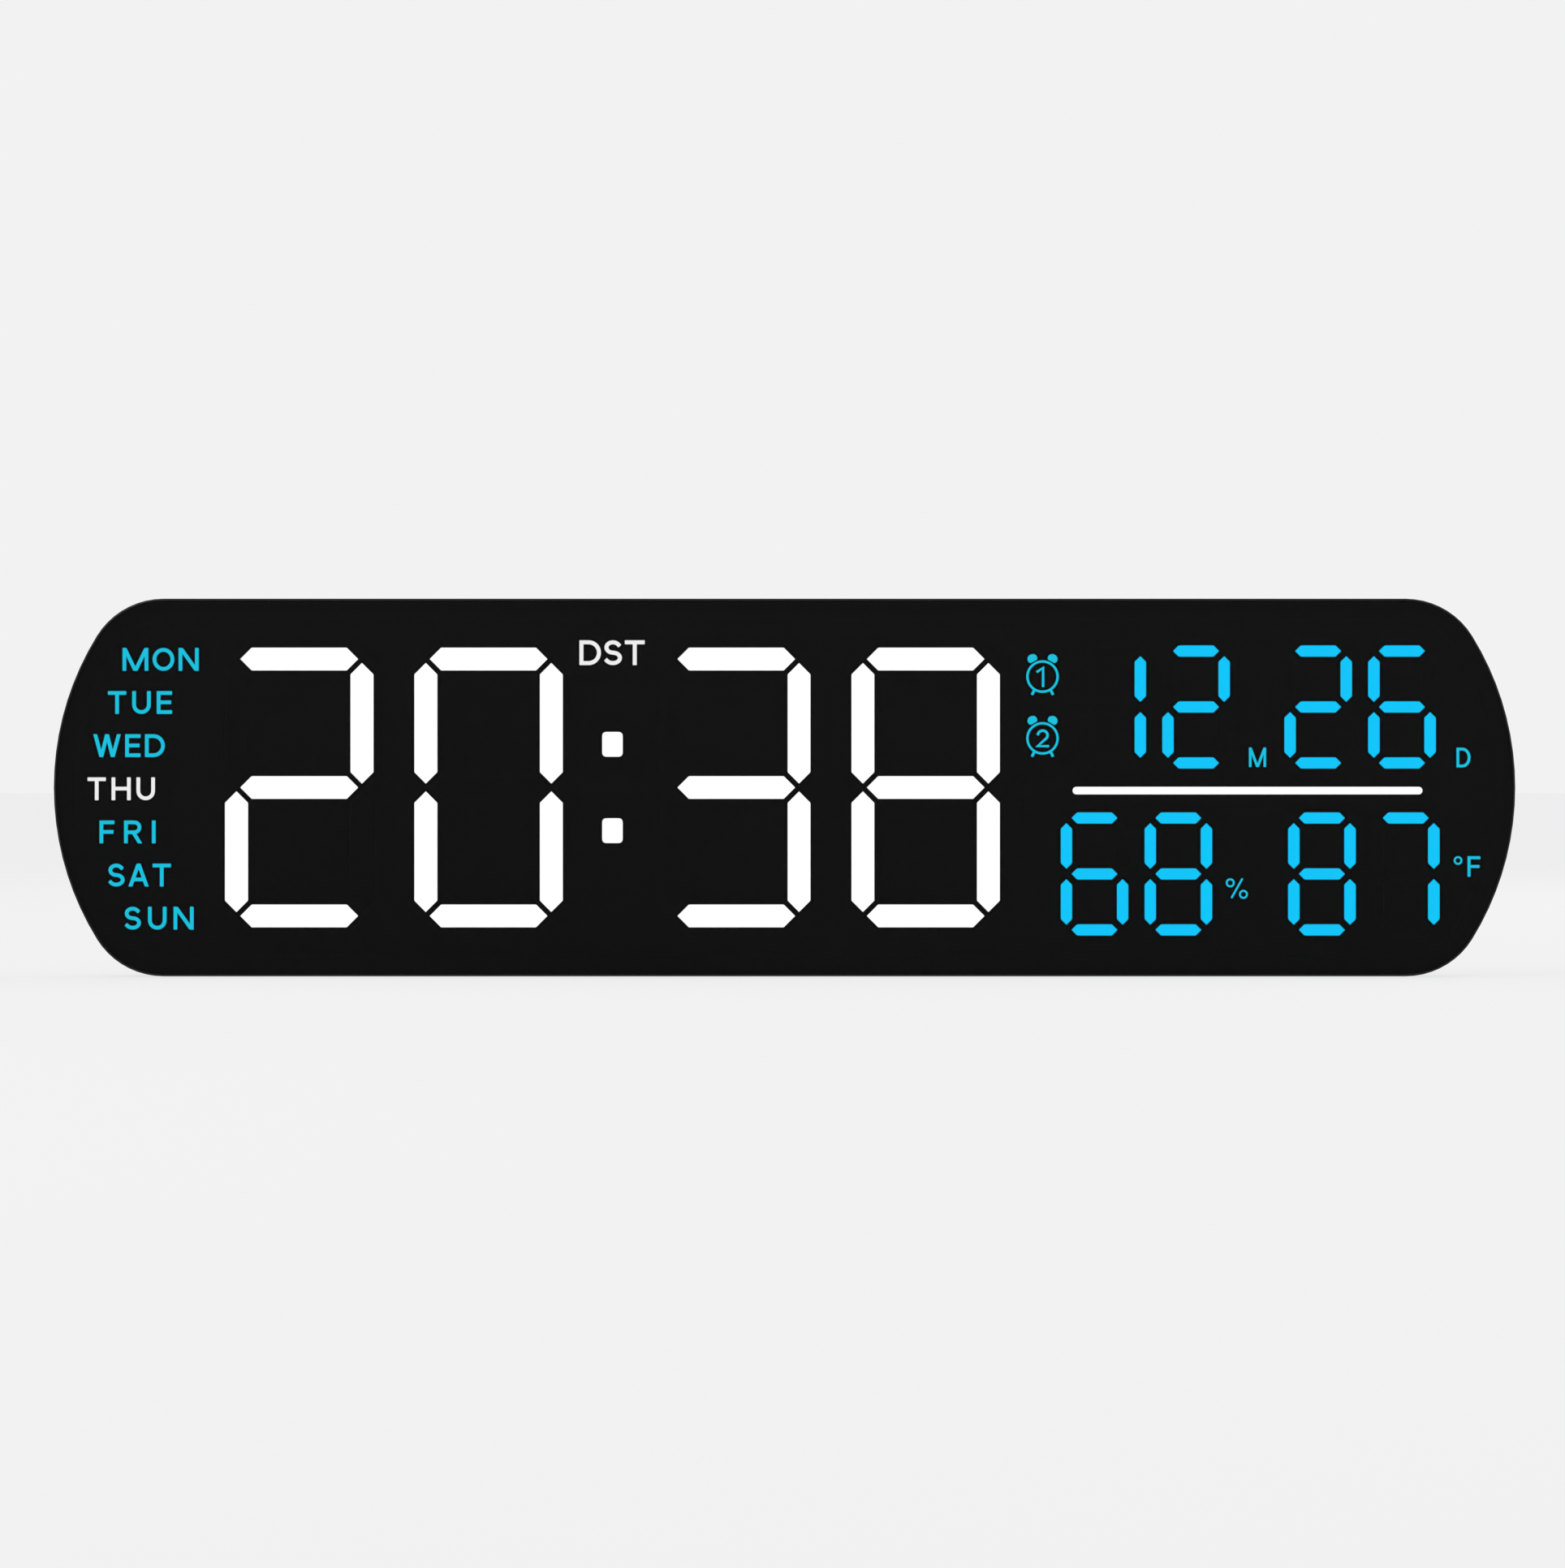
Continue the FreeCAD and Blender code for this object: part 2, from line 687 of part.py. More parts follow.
SCREW_CORNERS = (("outer", "outer_screw_x"), ("inner", "inner_screw_x"))
BIG_DIGITS = (
    ("hour_tens", "colon_x - colon_half_gap - big_pitch"),
    ("hour_units", "colon_x - colon_half_gap"),
    ("minute_tens", "colon_x + colon_half_gap"),
    ("minute_units", "colon_x + colon_half_gap + big_pitch"),
)
SMALL_PAIRS = (
    ("month", "month_x", "upper_row"),
    ("day", "day_x", "upper_row"),
    ("humidity", "humidity_x", "lower_row"),
    ("temperature", "temperature_x", "lower_row"),
)


def small_digits():
    """Name, X and height above mid-height of each small digit."""
    for pair, x, row_z in SMALL_PAIRS:
        yield f"{pair}_tens", f"{x} - small_pitch / 2", row_z
        yield f"{pair}_units", f"{x} + small_pitch / 2", row_z


def seven_bars(body, name, kind, front, length, grow, taper=None):
    """The seven bars of one digit about the body's origin, each grown all round."""
    across = f"({kind}_width - {kind}_stroke)"
    upward = f"(({kind}_height - {kind}_stroke) / 2)"
    stroke = f"({kind}_stroke + 2 * ({grow}))"
    longer = f"2 * sqrt(2) * ({grow}) - 2 * {kind}_joint"
    upright = new_sketch(body, f"{name}_upright", front, f"{across} / 2", f"{upward} / 2", turn=90.0)
    draw_bar(upright, f"({upward} + {longer})", stroke)
    uprights = pad(body, f"{name}_upright", upright, length, taper)
    mirrored_both(body, f"{name}_uprights", [uprights])
    level = new_sketch(body, f"{name}_level", front, "0", f"0 - {upward}")
    draw_bar(level, f"({across} + {longer})", stroke)
    levels = pad(body, f"{name}_level", level, length, taper)
    in_line(body, f"{name}_levels", [levels], "Z_Axis", f"2 * {upward}", 3)


def make_digits():
    """Each digit's seven translucent bars, which fill the film's windows flush."""
    places = [(name, "big", x, "0") for name, x in BIG_DIGITS]
    places += [(name, "small", x, z) for name, x, z in small_digits()]
    for name, kind, x, z in places:
        body = new_body(f"{name}_bars", x, "0", f"height / 2 + {z}")
        seven_bars(body, name, kind, FILM_FRONT, "film_thickness + seat_depth", "0")
        kept(body)


def make_cell_tools():
    """What the digits take out of the light box and the film: each bar's seat, a little larger
    than the bar, and behind its ledge a reflector that narrows towards the chips."""
    tools = []
    for kind in ("big", "small"):
        seats = new_body(f"{kind}_cells", "0", "0", "0")
        seven_bars(seats, f"{kind}_seat", kind, LENS_BACK,
                   f"{SEAT_BACK} - {LENS_BACK}", "bar_gap")
        seven_bars(seats, f"{kind}_reflector", kind, SEAT_BACK,
                   f"{BOX_BACK} - {SEAT_BACK} + 1", f"0 - {kind}_ledge", f"{kind}_taper")
        tools.append(seats)
    places = [("big", x, "0") for name, x in BIG_DIGITS]
    places += [("small", x, z) for name, x, z in small_digits()]
    links = []
    for number, (kind, x, z) in enumerate(places):
        link = doc.addObject("App::Link", f"cells_{number}")
        link.LinkedObject = tools[0] if kind == "big" else tools[1]
        bind(link, "Placement.Base.x", x)
        bind(link, "Placement.Base.z", f"height / 2 + {z}")
        links.append(link)
    cells = doc.addObject("Part::Compound", "digit_cells")
    cells.Links = links
    return cells


def colon_shapes(body, name, front, length, grow):
    """The colon's two dots, each grown all round."""
    dot = new_sketch(body, f"{name}_dot", front, "colon_x", "0 - colon_dot_z")
    draw_rounded(dot, f"colon_dot_width + 2 * ({grow})", f"colon_dot_height + 2 * ({grow})",
                 f"colon_dot_round + ({grow})")
    dots = pad(body, f"{name}_dot", dot, length)
    in_line(body, f"{name}_dots", [dots], "Z_Axis", "2 * colon_dot_z", 2)


def divider_shape(body, name, front, length, grow):
    """The bar between date and weather, grown all round."""
    sketch = new_sketch(body, name, front, "divider_x", "divider_z")
    draw_stadium(sketch, f"divider_length + 2 * ({grow})", f"divider_stroke + 2 * ({grow})")
    pad(body, name, sketch, length)


def word_windows():
    """Group, X, Z, width and height of the light window behind each printed sign."""
    for steps in range(-3, 4):
        x = f"weekday_x + {WEEKDAY_SHIFTS[abs(steps)]}"
        yield "weekday", x, f"{steps} * weekday_pitch", "word_width", "word_height"
    yield "indicator", "colon_x", "dst_z", "word_width", "word_height"
    for steps in (0, 1):
        yield "indicator", "icon_x", f"icon_z - {steps} * icon_pitch", "icon_width", "icon_height"
    for x, z in UNIT_SIGNS:
        yield "unit", x, z, "unit_width", "unit_height"


# The unit signs stand at the right foot of each pair of digits, the degree sign higher up.
UNIT_SIGNS = (
    ("(month_x + day_x) / 2 - 0.2", "upper_row - small_height / 2 + small_stroke"),
    ("day_x + 23.1", "upper_row - small_height / 2 + small_stroke"),
    ("humidity_x + 22.5", "lower_row - 3.1"),
    ("temperature_x + 23.2", "lower_row + 1.6"),
)


def make_windows():
    """Diffusers behind the printed signs, seated flush with the light box under the film."""
    for group in ("weekday", "indicator", "unit"):
        body = new_body(f"{group}_windows")
        for number, (kind, x, z, width, tall) in enumerate(word_windows()):
            if kind == group:
                sketch = new_sketch(body, f"{group}_{number}", FRAME_FRONT, x, z)
                draw_rounded(sketch, width, tall, "word_round")
                pad(body, f"{group}_{number}", sketch, "seat_depth")
        kept(body)


def make_marks():
    dots = new_body("colon_dots")
    colon_shapes(dots, "colon", FILM_FRONT, "film_thickness + seat_depth", "0")
    kept(dots)
    divider = new_body("divider_bar")
    divider_shape(divider, "divider", FILM_FRONT, "film_thickness + seat_depth", "0")
    kept(divider)


def mark_tool():
    tool = new_body("mark_cells")
    colon_shapes(tool, "dot_seat", LENS_BACK, f"{SEAT_BACK} - {LENS_BACK}", "bar_gap")
    divider_shape(tool, "divider_seat", LENS_BACK, f"{SEAT_BACK} - {LENS_BACK}", "bar_gap")
    colon_shapes(tool, "dot_shaft", SEAT_BACK, f"{BOX_BACK} - {SEAT_BACK} + 1", "0 - big_ledge")
    divider_shape(tool, "divider_shaft", SEAT_BACK, f"{BOX_BACK} - {SEAT_BACK} + 1", "0 - small_ledge")
    return tool


def window_tool():
    """Seat and shaft of each sign's window in the light box; the film over them stays whole."""
    tool = new_body("window_cells")
    for number, (kind, x, z, width, tall) in enumerate(word_windows()):
        seat = new_sketch(tool, f"seat_{number}", FRAME_FRONT, x, z)
        draw_rounded(seat, f"{width} + 2 * bar_gap", f"{tall} + 2 * bar_gap", "word_round + bar_gap")
        pad(tool, f"seat_{number}", seat, "seat_depth")
        shaft = new_sketch(tool, f"shaft_{number}", SEAT_BACK, x, z)
        draw_rectangle(shaft, f"{width} - 2 * word_ledge", f"{tall} - 2 * word_ledge")
        pad(tool, f"shaft_{number}", shaft, f"{BOX_BACK} - {SEAT_BACK} + 1")
    return tool


def cut(name, base, tools):
    """The base with all the tools taken out at once."""
    together = doc.addObject("Part::Compound", f"{name}_tools")
    together.Links = tools
    result = doc.addObject("Part::Cut", name)
    result.Base = base
    result.Tool = together
    doc.recompute()
    if not result.Shape.Volume < base.Shape.Volume:
        raise RuntimeError(f"{name} is not cut")
    return kept(result)


def board_screw_places():
    """X and Z of the screws that hold the board to the light box: in the loops of the first and
    last large digit, and between the pairs of small digits."""
    loop = "(big_height - big_stroke) / 4"
    for name, x in (BIG_DIGITS[0], BIG_DIGITS[3]):
        yield x, loop
        yield x, f"0 - {loop}"
    yield "right_screw_x", "upper_screw_z"
    yield "right_screw_x", "lower_screw_z"


def boss_notches(body, name, front, length):
    """Room for the front frame's bosses at both long edges."""
    for corner, x in SCREW_CORNERS:
        notch = round_pocket(body, f"{name}_{corner}", front, length, "boss_radius + side_gap",
                             x, "height / 2 - screw_inset")
        mirrored_both(body, f"{name}_{corner}_all", [notch])


def make_light_box(digit_cells):
    plate = new_body("light_box_plate")
    outline_pad(plate, "rear_step", LEDGE_BACK, f"{BOX_BACK} - {LEDGE_BACK}", "wall + side_gap")
    outline_pad(plate, "front_step", FRAME_FRONT, "ledge_thickness", "ledge_width + side_gap")
    boss_notches(plate, "notch", FRAME_FRONT, "light_box_depth")
    for number, (x, z) in enumerate(board_screw_places()):
        round_pocket(plate, f"pilot_{number}", f"{BOARD_BACK} - board_screw_length - pilot_spare",
                     "board_screw_length", "board_screw_radius + thread_gap", x, z)
    cut("light_box", plate, [digit_cells, mark_tool(), window_tool()])


def make_film(digit_cells):
    plate = new_body("mask_film_sheet")
    outline_pad(plate, "sheet", FILM_FRONT, "film_thickness", "tape_inset + tape_width + film_gap")
    marks = doc.getObject("mark_cells")
    cut("mask_film", plate, [digit_cells, marks])


def make_front():
    lens = new_body("front_lens")
    sheet_pad = outline_pad(lens, "panel", LENS_FRONT, "lens_thickness", "0")
    rim = edges_at(lens.Shape, value(LENS_FRONT))
    round_edges(lens, "panel_edge", sheet_pad, rim, "lens_round")
    kept(lens)
    tape = new_body("lens_tape")
    outline_pad(tape, "ring", LENS_BACK, "tape_thickness", "tape_inset", "tape_inset + tape_width")
    kept(tape)


def make_front_frame():
    """The front half of the housing: a wall, a ledge that the panel is taped to, a lip for the
    rear cover and eight bosses for its screws."""
    frame = new_body("front_frame")
    outline_pad(frame, "ledge", FRAME_FRONT, "ledge_thickness", "0", "ledge_width")
    outline_pad(frame, "side", LEDGE_BACK, f"{SPLIT} - {LEDGE_BACK}", "0", "wall")
    outline_pad(frame, "lip", SPLIT, "lip_height", "wall / 2 + lip_gap", "wall")
    z = "height / 2 - screw_inset"
    for corner, x in SCREW_CORNERS:
        gap = round_pocket(frame, f"lip_gap_{corner}", SPLIT, "lip_height", "boss_radius + lip_gap", x, z)
        mirrored_both(frame, f"lip_gaps_{corner}", [gap])
        boss = round_pad(frame, f"boss_{corner}", LEDGE_BACK, f"{SPLIT} - {LEDGE_BACK}",
                         "boss_radius", x, z)
        pilot = round_pocket(frame, f"pilot_{corner}", f"{SCREW_SEAT} - screw_length - pilot_spare",
                             f"{SPLIT} - {SCREW_SEAT} + screw_length + pilot_spare",
                             "case_screw_radius + thread_gap", x, z)
        mirrored_both(frame, f"bosses_{corner}", [boss, pilot])
    kept(frame)


# ---------------------------------------------------------------- electronics

def bar_places():
    """Middle, direction, kind and number of chips of every bar in the display."""
    digits = [("big", x, "0") for name, x in BIG_DIGITS]
    digits += [("small", x, z) for name, x, z in small_digits()]
    for kind, x, z in digits:
        across = value(f"{kind}_width - {kind}_stroke") / 2
        upward = value(f"({kind}_height - {kind}_stroke) / 2")
        middle = (value(x), value(f"height / 2 + {z}"))
        for row_z in (-upward, 0.0, upward):
            yield kind, middle[0], middle[1] + row_z, False
        for side in (-across, across):
            for half in (-upward / 2, upward / 2):
                yield kind, middle[0] + side, middle[1] + half, True


def chip(kind, x, z, upright):
    """One light-emitting chip on the front of the main board."""
    long = value(f"{kind}_chip_length")
    short = value(f"{kind}_chip_width")
    width, tall = (short, long) if upright else (long, short)
    thickness = value("chip_thickness")
    corner = Vector(x - width / 2, value(BOX_BACK) - thickness, z - tall / 2)
    return Part.makeBox(width, thickness, tall, corner)


def make_chips():
    """White chips under the time, DST and the bar, and blue ones under the date, weather and signs.
    A weekday has one of each, since it is white on its own day and blue on the others."""
    white = []
    blue = []
    step = value("chip_step")
    for kind, x, z, upright in bar_places():
        if kind == "small":
            blue.append(chip(kind, x, z, upright))
            continue
        for offset in (-step, 0.0, step):
            along = (0.0, offset) if upright else (offset, 0.0)
            white.append(chip(kind, x + along[0], z + along[1], upright))
    middle = value(HALF_HEIGHT)
    for side in (-1, 1):
        white.append(chip("big", value("colon_x"), middle + side * value("colon_dot_z"), True))
    spread = value("divider_length")
    for part in (-0.375, -0.125, 0.125, 0.375):
        white.append(chip("small", value("divider_x") + part * spread, middle + value("divider_z"), False))
    for kind, x, z, width, tall in word_windows():
        if x == "colon_x":
            white.append(chip("small", value(x), middle + value(z), False))
        elif kind == "weekday":
            white.append(chip("small", value(x) - step / 2, middle + value(z), False))
            blue.append(chip("small", value(x) + step / 2, middle + value(z), False))
        else:
            blue.append(chip("small", value(x), middle + value(z), False))
    for name, boxes in (("white_chips", white), ("blue_chips", blue)):
        feature = doc.addObject("Part::Feature", name)
        feature.Shape = Part.makeCompound(boxes)
        kept(feature)


def make_main_board():
    board = new_body("led_board")
    outline_pad(board, "laminate", BOX_BACK, "board_thickness", "board_inset")
    boss_notches(board, "notch", BOX_BACK, "board_thickness")
    for number, (x, z) in enumerate(board_screw_places()):
        round_pocket(board, f"hole_{number}", BOX_BACK, "board_thickness",
                     "board_screw_radius + screw_clearance", x, z)
    kept(board)


def make_screw(body, name, seat, length, kind, x, z):
    """A pan-head screw driven towards the face, its head resting on the seat's plane."""
    shank = round_pad(body, f"{name}_shank", f"{seat} - {length}", length, f"{kind}_screw_radius", x, z)
    head = round_pad(body, f"{name}_head", seat, f"{kind}_head_thickness", f"{kind}_head_radius", x, z)
    return [shank, head]


def standoff_places():
    half_w = "power_board_width / 2 - standoff_inset"
    half_h = "power_board_height / 2 - standoff_inset"
    for side_x in ("-", "+"):
        for side_z in ("-", "+"):
            yield f"power_board_x {side_x} ({half_w})", f"{POWER_MIDDLE} {side_z} ({half_h})"


# The power board stands just above the cable recess, so the inlet's mouth meets the plug window.
INLET_MOUTH = "(cable_top + pocket_wall + inlet_set_back - height / 2)"
POWER_MIDDLE = f"({INLET_MOUTH} + power_board_height / 2)"


def make_board_screws():
    screws = new_body("board_screws")
    for number, (x, z) in enumerate(board_screw_places()):
        make_screw(screws, f"main_{number}", BOARD_BACK, "board_screw_length", "board", x, z)
    for number, (x, z) in enumerate(standoff_places()):
        make_screw(screws, f"power_{number}", POWER_BACK, "board_screw_length", "board", x, z)
    kept(screws)


def make_power_board():
    board = new_body("power_board")
    block_pad(board, "laminate", "power_board_y", "board_thickness", "power_board_width",
              "power_board_height", "power_board_x", POWER_MIDDLE)
    standoffs = new_body("board_standoffs")
    height = f"power_board_y - {BOARD_BACK}"
    for number, (x, z) in enumerate(standoff_places()):
        round_pocket(board, f"hole_{number}", "power_board_y", "board_thickness",
                     "board_screw_radius + screw_clearance", x, z)
        round_pad(standoffs, f"post_{number}", BOARD_BACK, height, "standoff_radius", x, z)
        round_pocket(standoffs, f"bore_{number}", BOARD_BACK, height,
                     "board_screw_radius + thread_gap", x, z)
    kept(board)
    kept(standoffs)
    kept(box_part("board_header", "header_width", height, "header_thickness", "header_x",
                  BOARD_BACK, f"{POWER_MIDDLE} + power_board_height / 2 - 3"))


def make_inlet():
    """A small reversible power socket that lies on the power board and opens downwards."""
    middle_y = f"({POWER_BACK} + inlet_thickness / 2)"
    shell = new_body("power_inlet_shell", "0", middle_y, "cable_top + pocket_wall + inlet_set_back")
    for name, work, inset, length in (
            ("shell", pad, "0", "inlet_length"),
            ("mouth", pocket, "inlet_wall", "inlet_length - inlet_wall")):
        sketch = new_sketch(shell, name, "0", plane="XY_Plane")
        draw_stadium(sketch, f"inlet_width - 2 * {inset}", f"inlet_thickness - 2 * {inset}")
        work(shell, name, sketch, length)
    kept(shell)
    tongue = box_part("power_inlet_tongue", "tongue_width", "tongue_thickness", "tongue_length", "0",
                      f"{middle_y} - tongue_thickness / 2",
                      f"{INLET_MOUTH} + inlet_length - inlet_wall - tongue_length / 2")
    kept(tongue)


def make_components():
    """The taller parts on the back of the main board."""
    kept(box_part("controller_chip", "controller_width", "controller_thickness", "controller_width",
                  "controller_x", BOARD_BACK, "0"))
    gathered("driver_chips", [
        box_part(f"driver_{number}", "driver_length", "driver_thickness", "driver_width",
                 x, BOARD_BACK, "0")
        for number, x in enumerate(("controller_x - 35", "controller_x + 45", "post_x - 15"))])
    crystal = doc.addObject("Part::Cylinder", "clock_crystal")
    bind(crystal, "Radius", "crystal_radius")
    bind(crystal, "Height", "crystal_length")
    bind(crystal, "Placement.Base.x", "controller_x + controller_width")
    bind(crystal, "Placement.Base.y", f"{BOARD_BACK} + crystal_radius")
    bind(crystal, "Placement.Base.z", "height / 2")
    kept(crystal)
    cans = new_body("capacitors")
    can = round_pad(cans, "can", BOARD_BACK, "capacitor_height", "capacitor_radius",
                    "capacitor_x", "capacitor_z")
    in_line(cans, "can_pair", [can], "X_Axis", "3 * capacitor_radius", 2)
    kept(cans)
    buzzer = new_body("buzzer")
    round_pad(buzzer, "case", BOARD_BACK, "buzzer_height", "buzzer_radius", "sound_x", "sound_z")
    round_pocket(buzzer, "port", f"{BOARD_BACK} + buzzer_height - 1", "1", "buzzer_port_radius",
                 "sound_x", "sound_z")
    kept(buzzer)
    kept(box_part("climate_sensor", "sensor_width", "sensor_thickness", "sensor_width",
                  "vent_x", BOARD_BACK, "vent_z"))


# ---------------------------------------------------------------- keys

KEYS = ("mode_key", "alarm_key", "up_key", "down_key", "brightness_key")
KEY_TOP = f"({BACK} - key_sunk)"
TRAY_FLOOR = f"({BACK} - key_recess)"
TRAY_INSIDE = f"({TRAY_FLOOR} - key_tray_wall)"
FLANGE_BACK = f"({TRAY_INSIDE} - key_flange_gap)"
SWITCH_BACK = f"({BOARD_BACK} + switch_thickness)"
STEM_BACK = f"({SWITCH_BACK} + stem_height)"


def make_keys():
    """Five push keys, each with a flange that holds it in and a post down to its switch stem."""
    for number, name in enumerate(KEYS):
        x = f"{number - 2} * key_pitch"
        key = new_body(name, x, "0", "height / 2 + key_z")
        face = new_sketch(key, "face", FLANGE_BACK)
        draw_stadium(face, "key_length", "key_width")
        top = pad(key, "face", face, f"{KEY_TOP} - {FLANGE_BACK}")
        rim = edges_at(key.Shape, value(KEY_TOP))
        bevel_edges(key, "key_edge", top, rim, "key_bevel")
        flange = new_sketch(key, "flange", f"{FLANGE_BACK} - key_flange_thickness")
        draw_stadium(flange, "key_length + 2 * key_flange", "key_width + 2 * key_flange")
        pad(key, "flange", flange, "key_flange_thickness")
        round_pad(key, "post", STEM_BACK, f"{FLANGE_BACK} - key_flange_thickness - {STEM_BACK}",
                  "key_post_radius")
        kept(key)
        stem = new_body(f"{name}_stem", x, "0", "height / 2 + key_z")
        round_pad(stem, "stem", f"{SWITCH_BACK} - key_travel", "stem_height + key_travel", "stem_radius")
        kept(stem)
    switches = new_body("key_switches")
    start = "0 - 2 * key_pitch"
    base = block_pad(switches, "base", BOARD_BACK, "switch_thickness", "switch_width", "switch_width",
                     start, "key_z")
    bore = round_pocket(switches, "bore", f"{SWITCH_BACK} - 3 * key_travel", "3 * key_travel",
                        "stem_radius + stem_gap", start, "key_z")
    in_line(switches, "five", [base, bore], "X_Axis", "4 * key_pitch", 5)
    kept(switches)


# ---------------------------------------------------------------- feet

FOOT_REACH = "(edge_round - foot_pad_thickness)"
HINGE_Y = "(depth / 2 - edge_round)"
HINGE_Z = "edge_round"


def make_foot(side, x):
    """A flap that lies in the back and swings down: a round barrel at the hinge runs out into a
    flat plate, and the rubber pad on it meets the table."""
    reach = value(FOOT_REACH)
    thickness = value("foot_thickness")
    length = value("foot_length")
    inner = reach - thickness
    leave = math.sqrt(reach ** 2 - inner ** 2)
    foot = new_body(f"{side}_foot", x, HINGE_Y, HINGE_Z)
    profile = new_sketch(foot, "profile", "0 - foot_width / 2", plane="YZ_Plane")
    line(profile, (reach, 0), (reach, length))
    line(profile, (reach, length), (inner, length))
    line(profile, (inner, length), (inner, leave))
    arc(profile, (0, 0), reach, math.degrees(math.atan2(leave, inner)), 360)
    for first, second, end in ((0, 1, 1), (1, 2, 1), (2, 3, 1)):
        profile.addConstraint(Sketcher.Constraint("Coincident", first, 2, second, end))
    profile.addConstraint(Sketcher.Constraint("Tangent", 3, 2, 0, 1))
    profile.addConstraint(Sketcher.Constraint("Vertical", 0))
    profile.addConstraint(Sketcher.Constraint("Horizontal", 1))
    profile.addConstraint(Sketcher.Constraint("Vertical", 2))
    profile.addConstraint(Sketcher.Constraint("Coincident", 3, 3, -1, 1))
    constrain(profile, FOOT_REACH, "Radius", 3)
    constrain(profile, "foot_thickness", "DistanceX", 1, 2, 1, 1)
    constrain(profile, "foot_length", "DistanceY", -1, 1, 0, 2)
    plate = pad(foot, "plate", profile, "foot_width")
    corners = []
    for number, edge in enumerate(foot.Shape.Edges, start=1):
        box = edge.BoundBox
        along_y = box.YMax - box.YMin > thickness / 2 and box.ZMax - box.ZMin < 1e-4
        if along_y and abs(box.ZMax - length - value(HINGE_Z)) < 1e-3:
            corners.append(f"Edge{number}")
    round_edges(foot, "plate_corners", plate, corners, "foot_thickness")
    bore = new_sketch(foot, "bore", "0 - foot_width / 2", plane="YZ_Plane")
    draw_circle(bore, "foot_pin_radius + pin_gap")
    pocket(foot, "bore", bore, "foot_width")
    kept(foot)
    rubber = new_body(f"{side}_foot_pad", x, HINGE_Y, HINGE_Z)
    outline = new_sketch(rubber, "rubber", FOOT_REACH, "0",
                         "foot_length - foot_pad_inset - foot_pad_length / 2")
    draw_rounded(outline, "foot_pad_width", "foot_pad_length", "foot_pad_inset / 2")
    pad(rubber, "rubber", outline, "foot_pad_thickness")
    kept(rubber)


def make_feet():
    make_foot("left", "0 - foot_x")
    make_foot("right", "foot_x")
    pins = []
    for side in (-1, 1):
        pin = doc.addObject("Part::Cylinder", f"pin_{'left' if side < 0 else 'right'}")
        half = "(foot_width / 2 + foot_gap + pocket_wall)"
        bind(pin, "Radius", "foot_pin_radius")
        bind(pin, "Height", f"2 * {half}")
        pin.Placement = Placement(Vector(0, 0, 0), Rotation(Vector(0, 1, 0), 90))
        bind(pin, "Placement.Base.x", f"{side} * foot_x - {half}")
        bind(pin, "Placement.Base.y", HINGE_Y)
        bind(pin, "Placement.Base.z", HINGE_Z)
        pins.append(pin)
    gathered("foot_pins", pins)


# ---------------------------------------------------------------- coin cell

CAP_FRONT = f"({BACK} - cap_thickness)"
RECESS_FLOOR = f"({CAP_FRONT} - cell_gap / 2)"
LIP_FRONT = f"({RECESS_FLOOR} - cap_lip)"
SKIRT_FRONT = f"({CAP_FRONT} - cap_skirt_depth)"
COLLAR_FRONT = f"({SKIRT_FRONT} - 0.6)"


def make_cap():
    """A round cap with a coin slot.  Its three lugs pass the collar's notches after an eighth of
    a turn, and lie under the collar's lip while it is shut."""
    cap = new_body("battery_cap", "cell_x", "0", "height / 2 + cell_z")
    disc = round_pad(cap, "disc", CAP_FRONT, "cap_thickness", "cap_radius")
    rim = edges_at(cap.Shape, value(BACK))
    bevel_edges(cap, "rim", disc, rim, "cap_bevel")
    round_pad(cap, "skirt", SKIRT_FRONT, "cap_skirt_depth", "cap_skirt_radius")
    lug = new_sketch(cap, "lug", SKIRT_FRONT)
    draw_sector(lug, "cap_skirt_radius - cap_skirt_wall / 2", "cap_skirt_radius + cap_lug_reach",
                "cap_lug_angle")
    three_around(cap, "lugs", pad(cap, "lug", lug, "cap_lug_thickness"))
    round_pocket(cap, "hollow", SKIRT_FRONT, "cap_skirt_depth", "cap_skirt_radius - cap_skirt_wall")
    slot = new_sketch(cap, "coin_slot", f"{BACK} - coin_slot_depth")
    draw_stadium(slot, "coin_slot_length", "coin_slot_width")
    pocket(cap, "coin_slot", slot, "coin_slot_depth")
    kept(cap)


def make_cell():
    holder = new_body("cell_holder", "cell_x", "0", "height / 2 + cell_z")
    wide = "(cell_radius + cell_gap + holder_wall)"
    round_pad(holder, "cup", POWER_BACK, "holder_depth", wide)
    round_pocket(holder, "well", f"{POWER_BACK} + holder_floor", "holder_depth - holder_floor",
                 "cell_radius + cell_gap")
    block_pocket(holder, "contact_gap", POWER_BACK, "holder_depth", "2 * holder_wall + 2 * cell_gap",
                 "contact_width + 2 * cell_gap", f"0 - {wide}", "0")
    kept(holder)
    seat = f"({POWER_BACK} + holder_floor)"
    cell = new_body("coin_cell", "cell_x", "0", "height / 2 + cell_z")
    round_pad(cell, "can", seat, "cell_thickness", "cell_radius")
    kept(cell)
    contact = new_body("cell_contact", "cell_x", "0", "height / 2 + cell_z")
    block_pad(contact, "spring", POWER_BACK, "holder_depth", "contact_thickness",
              "contact_width", "0 - cell_radius - contact_thickness / 2", "0")
    block_pad(contact, "foot", POWER_BACK, "contact_thickness", "holder_wall + cell_gap",
              "contact_width", "0 - cell_radius - (holder_wall + cell_gap) / 2", "0")
    kept(contact)


# ---------------------------------------------------------------- rear cover

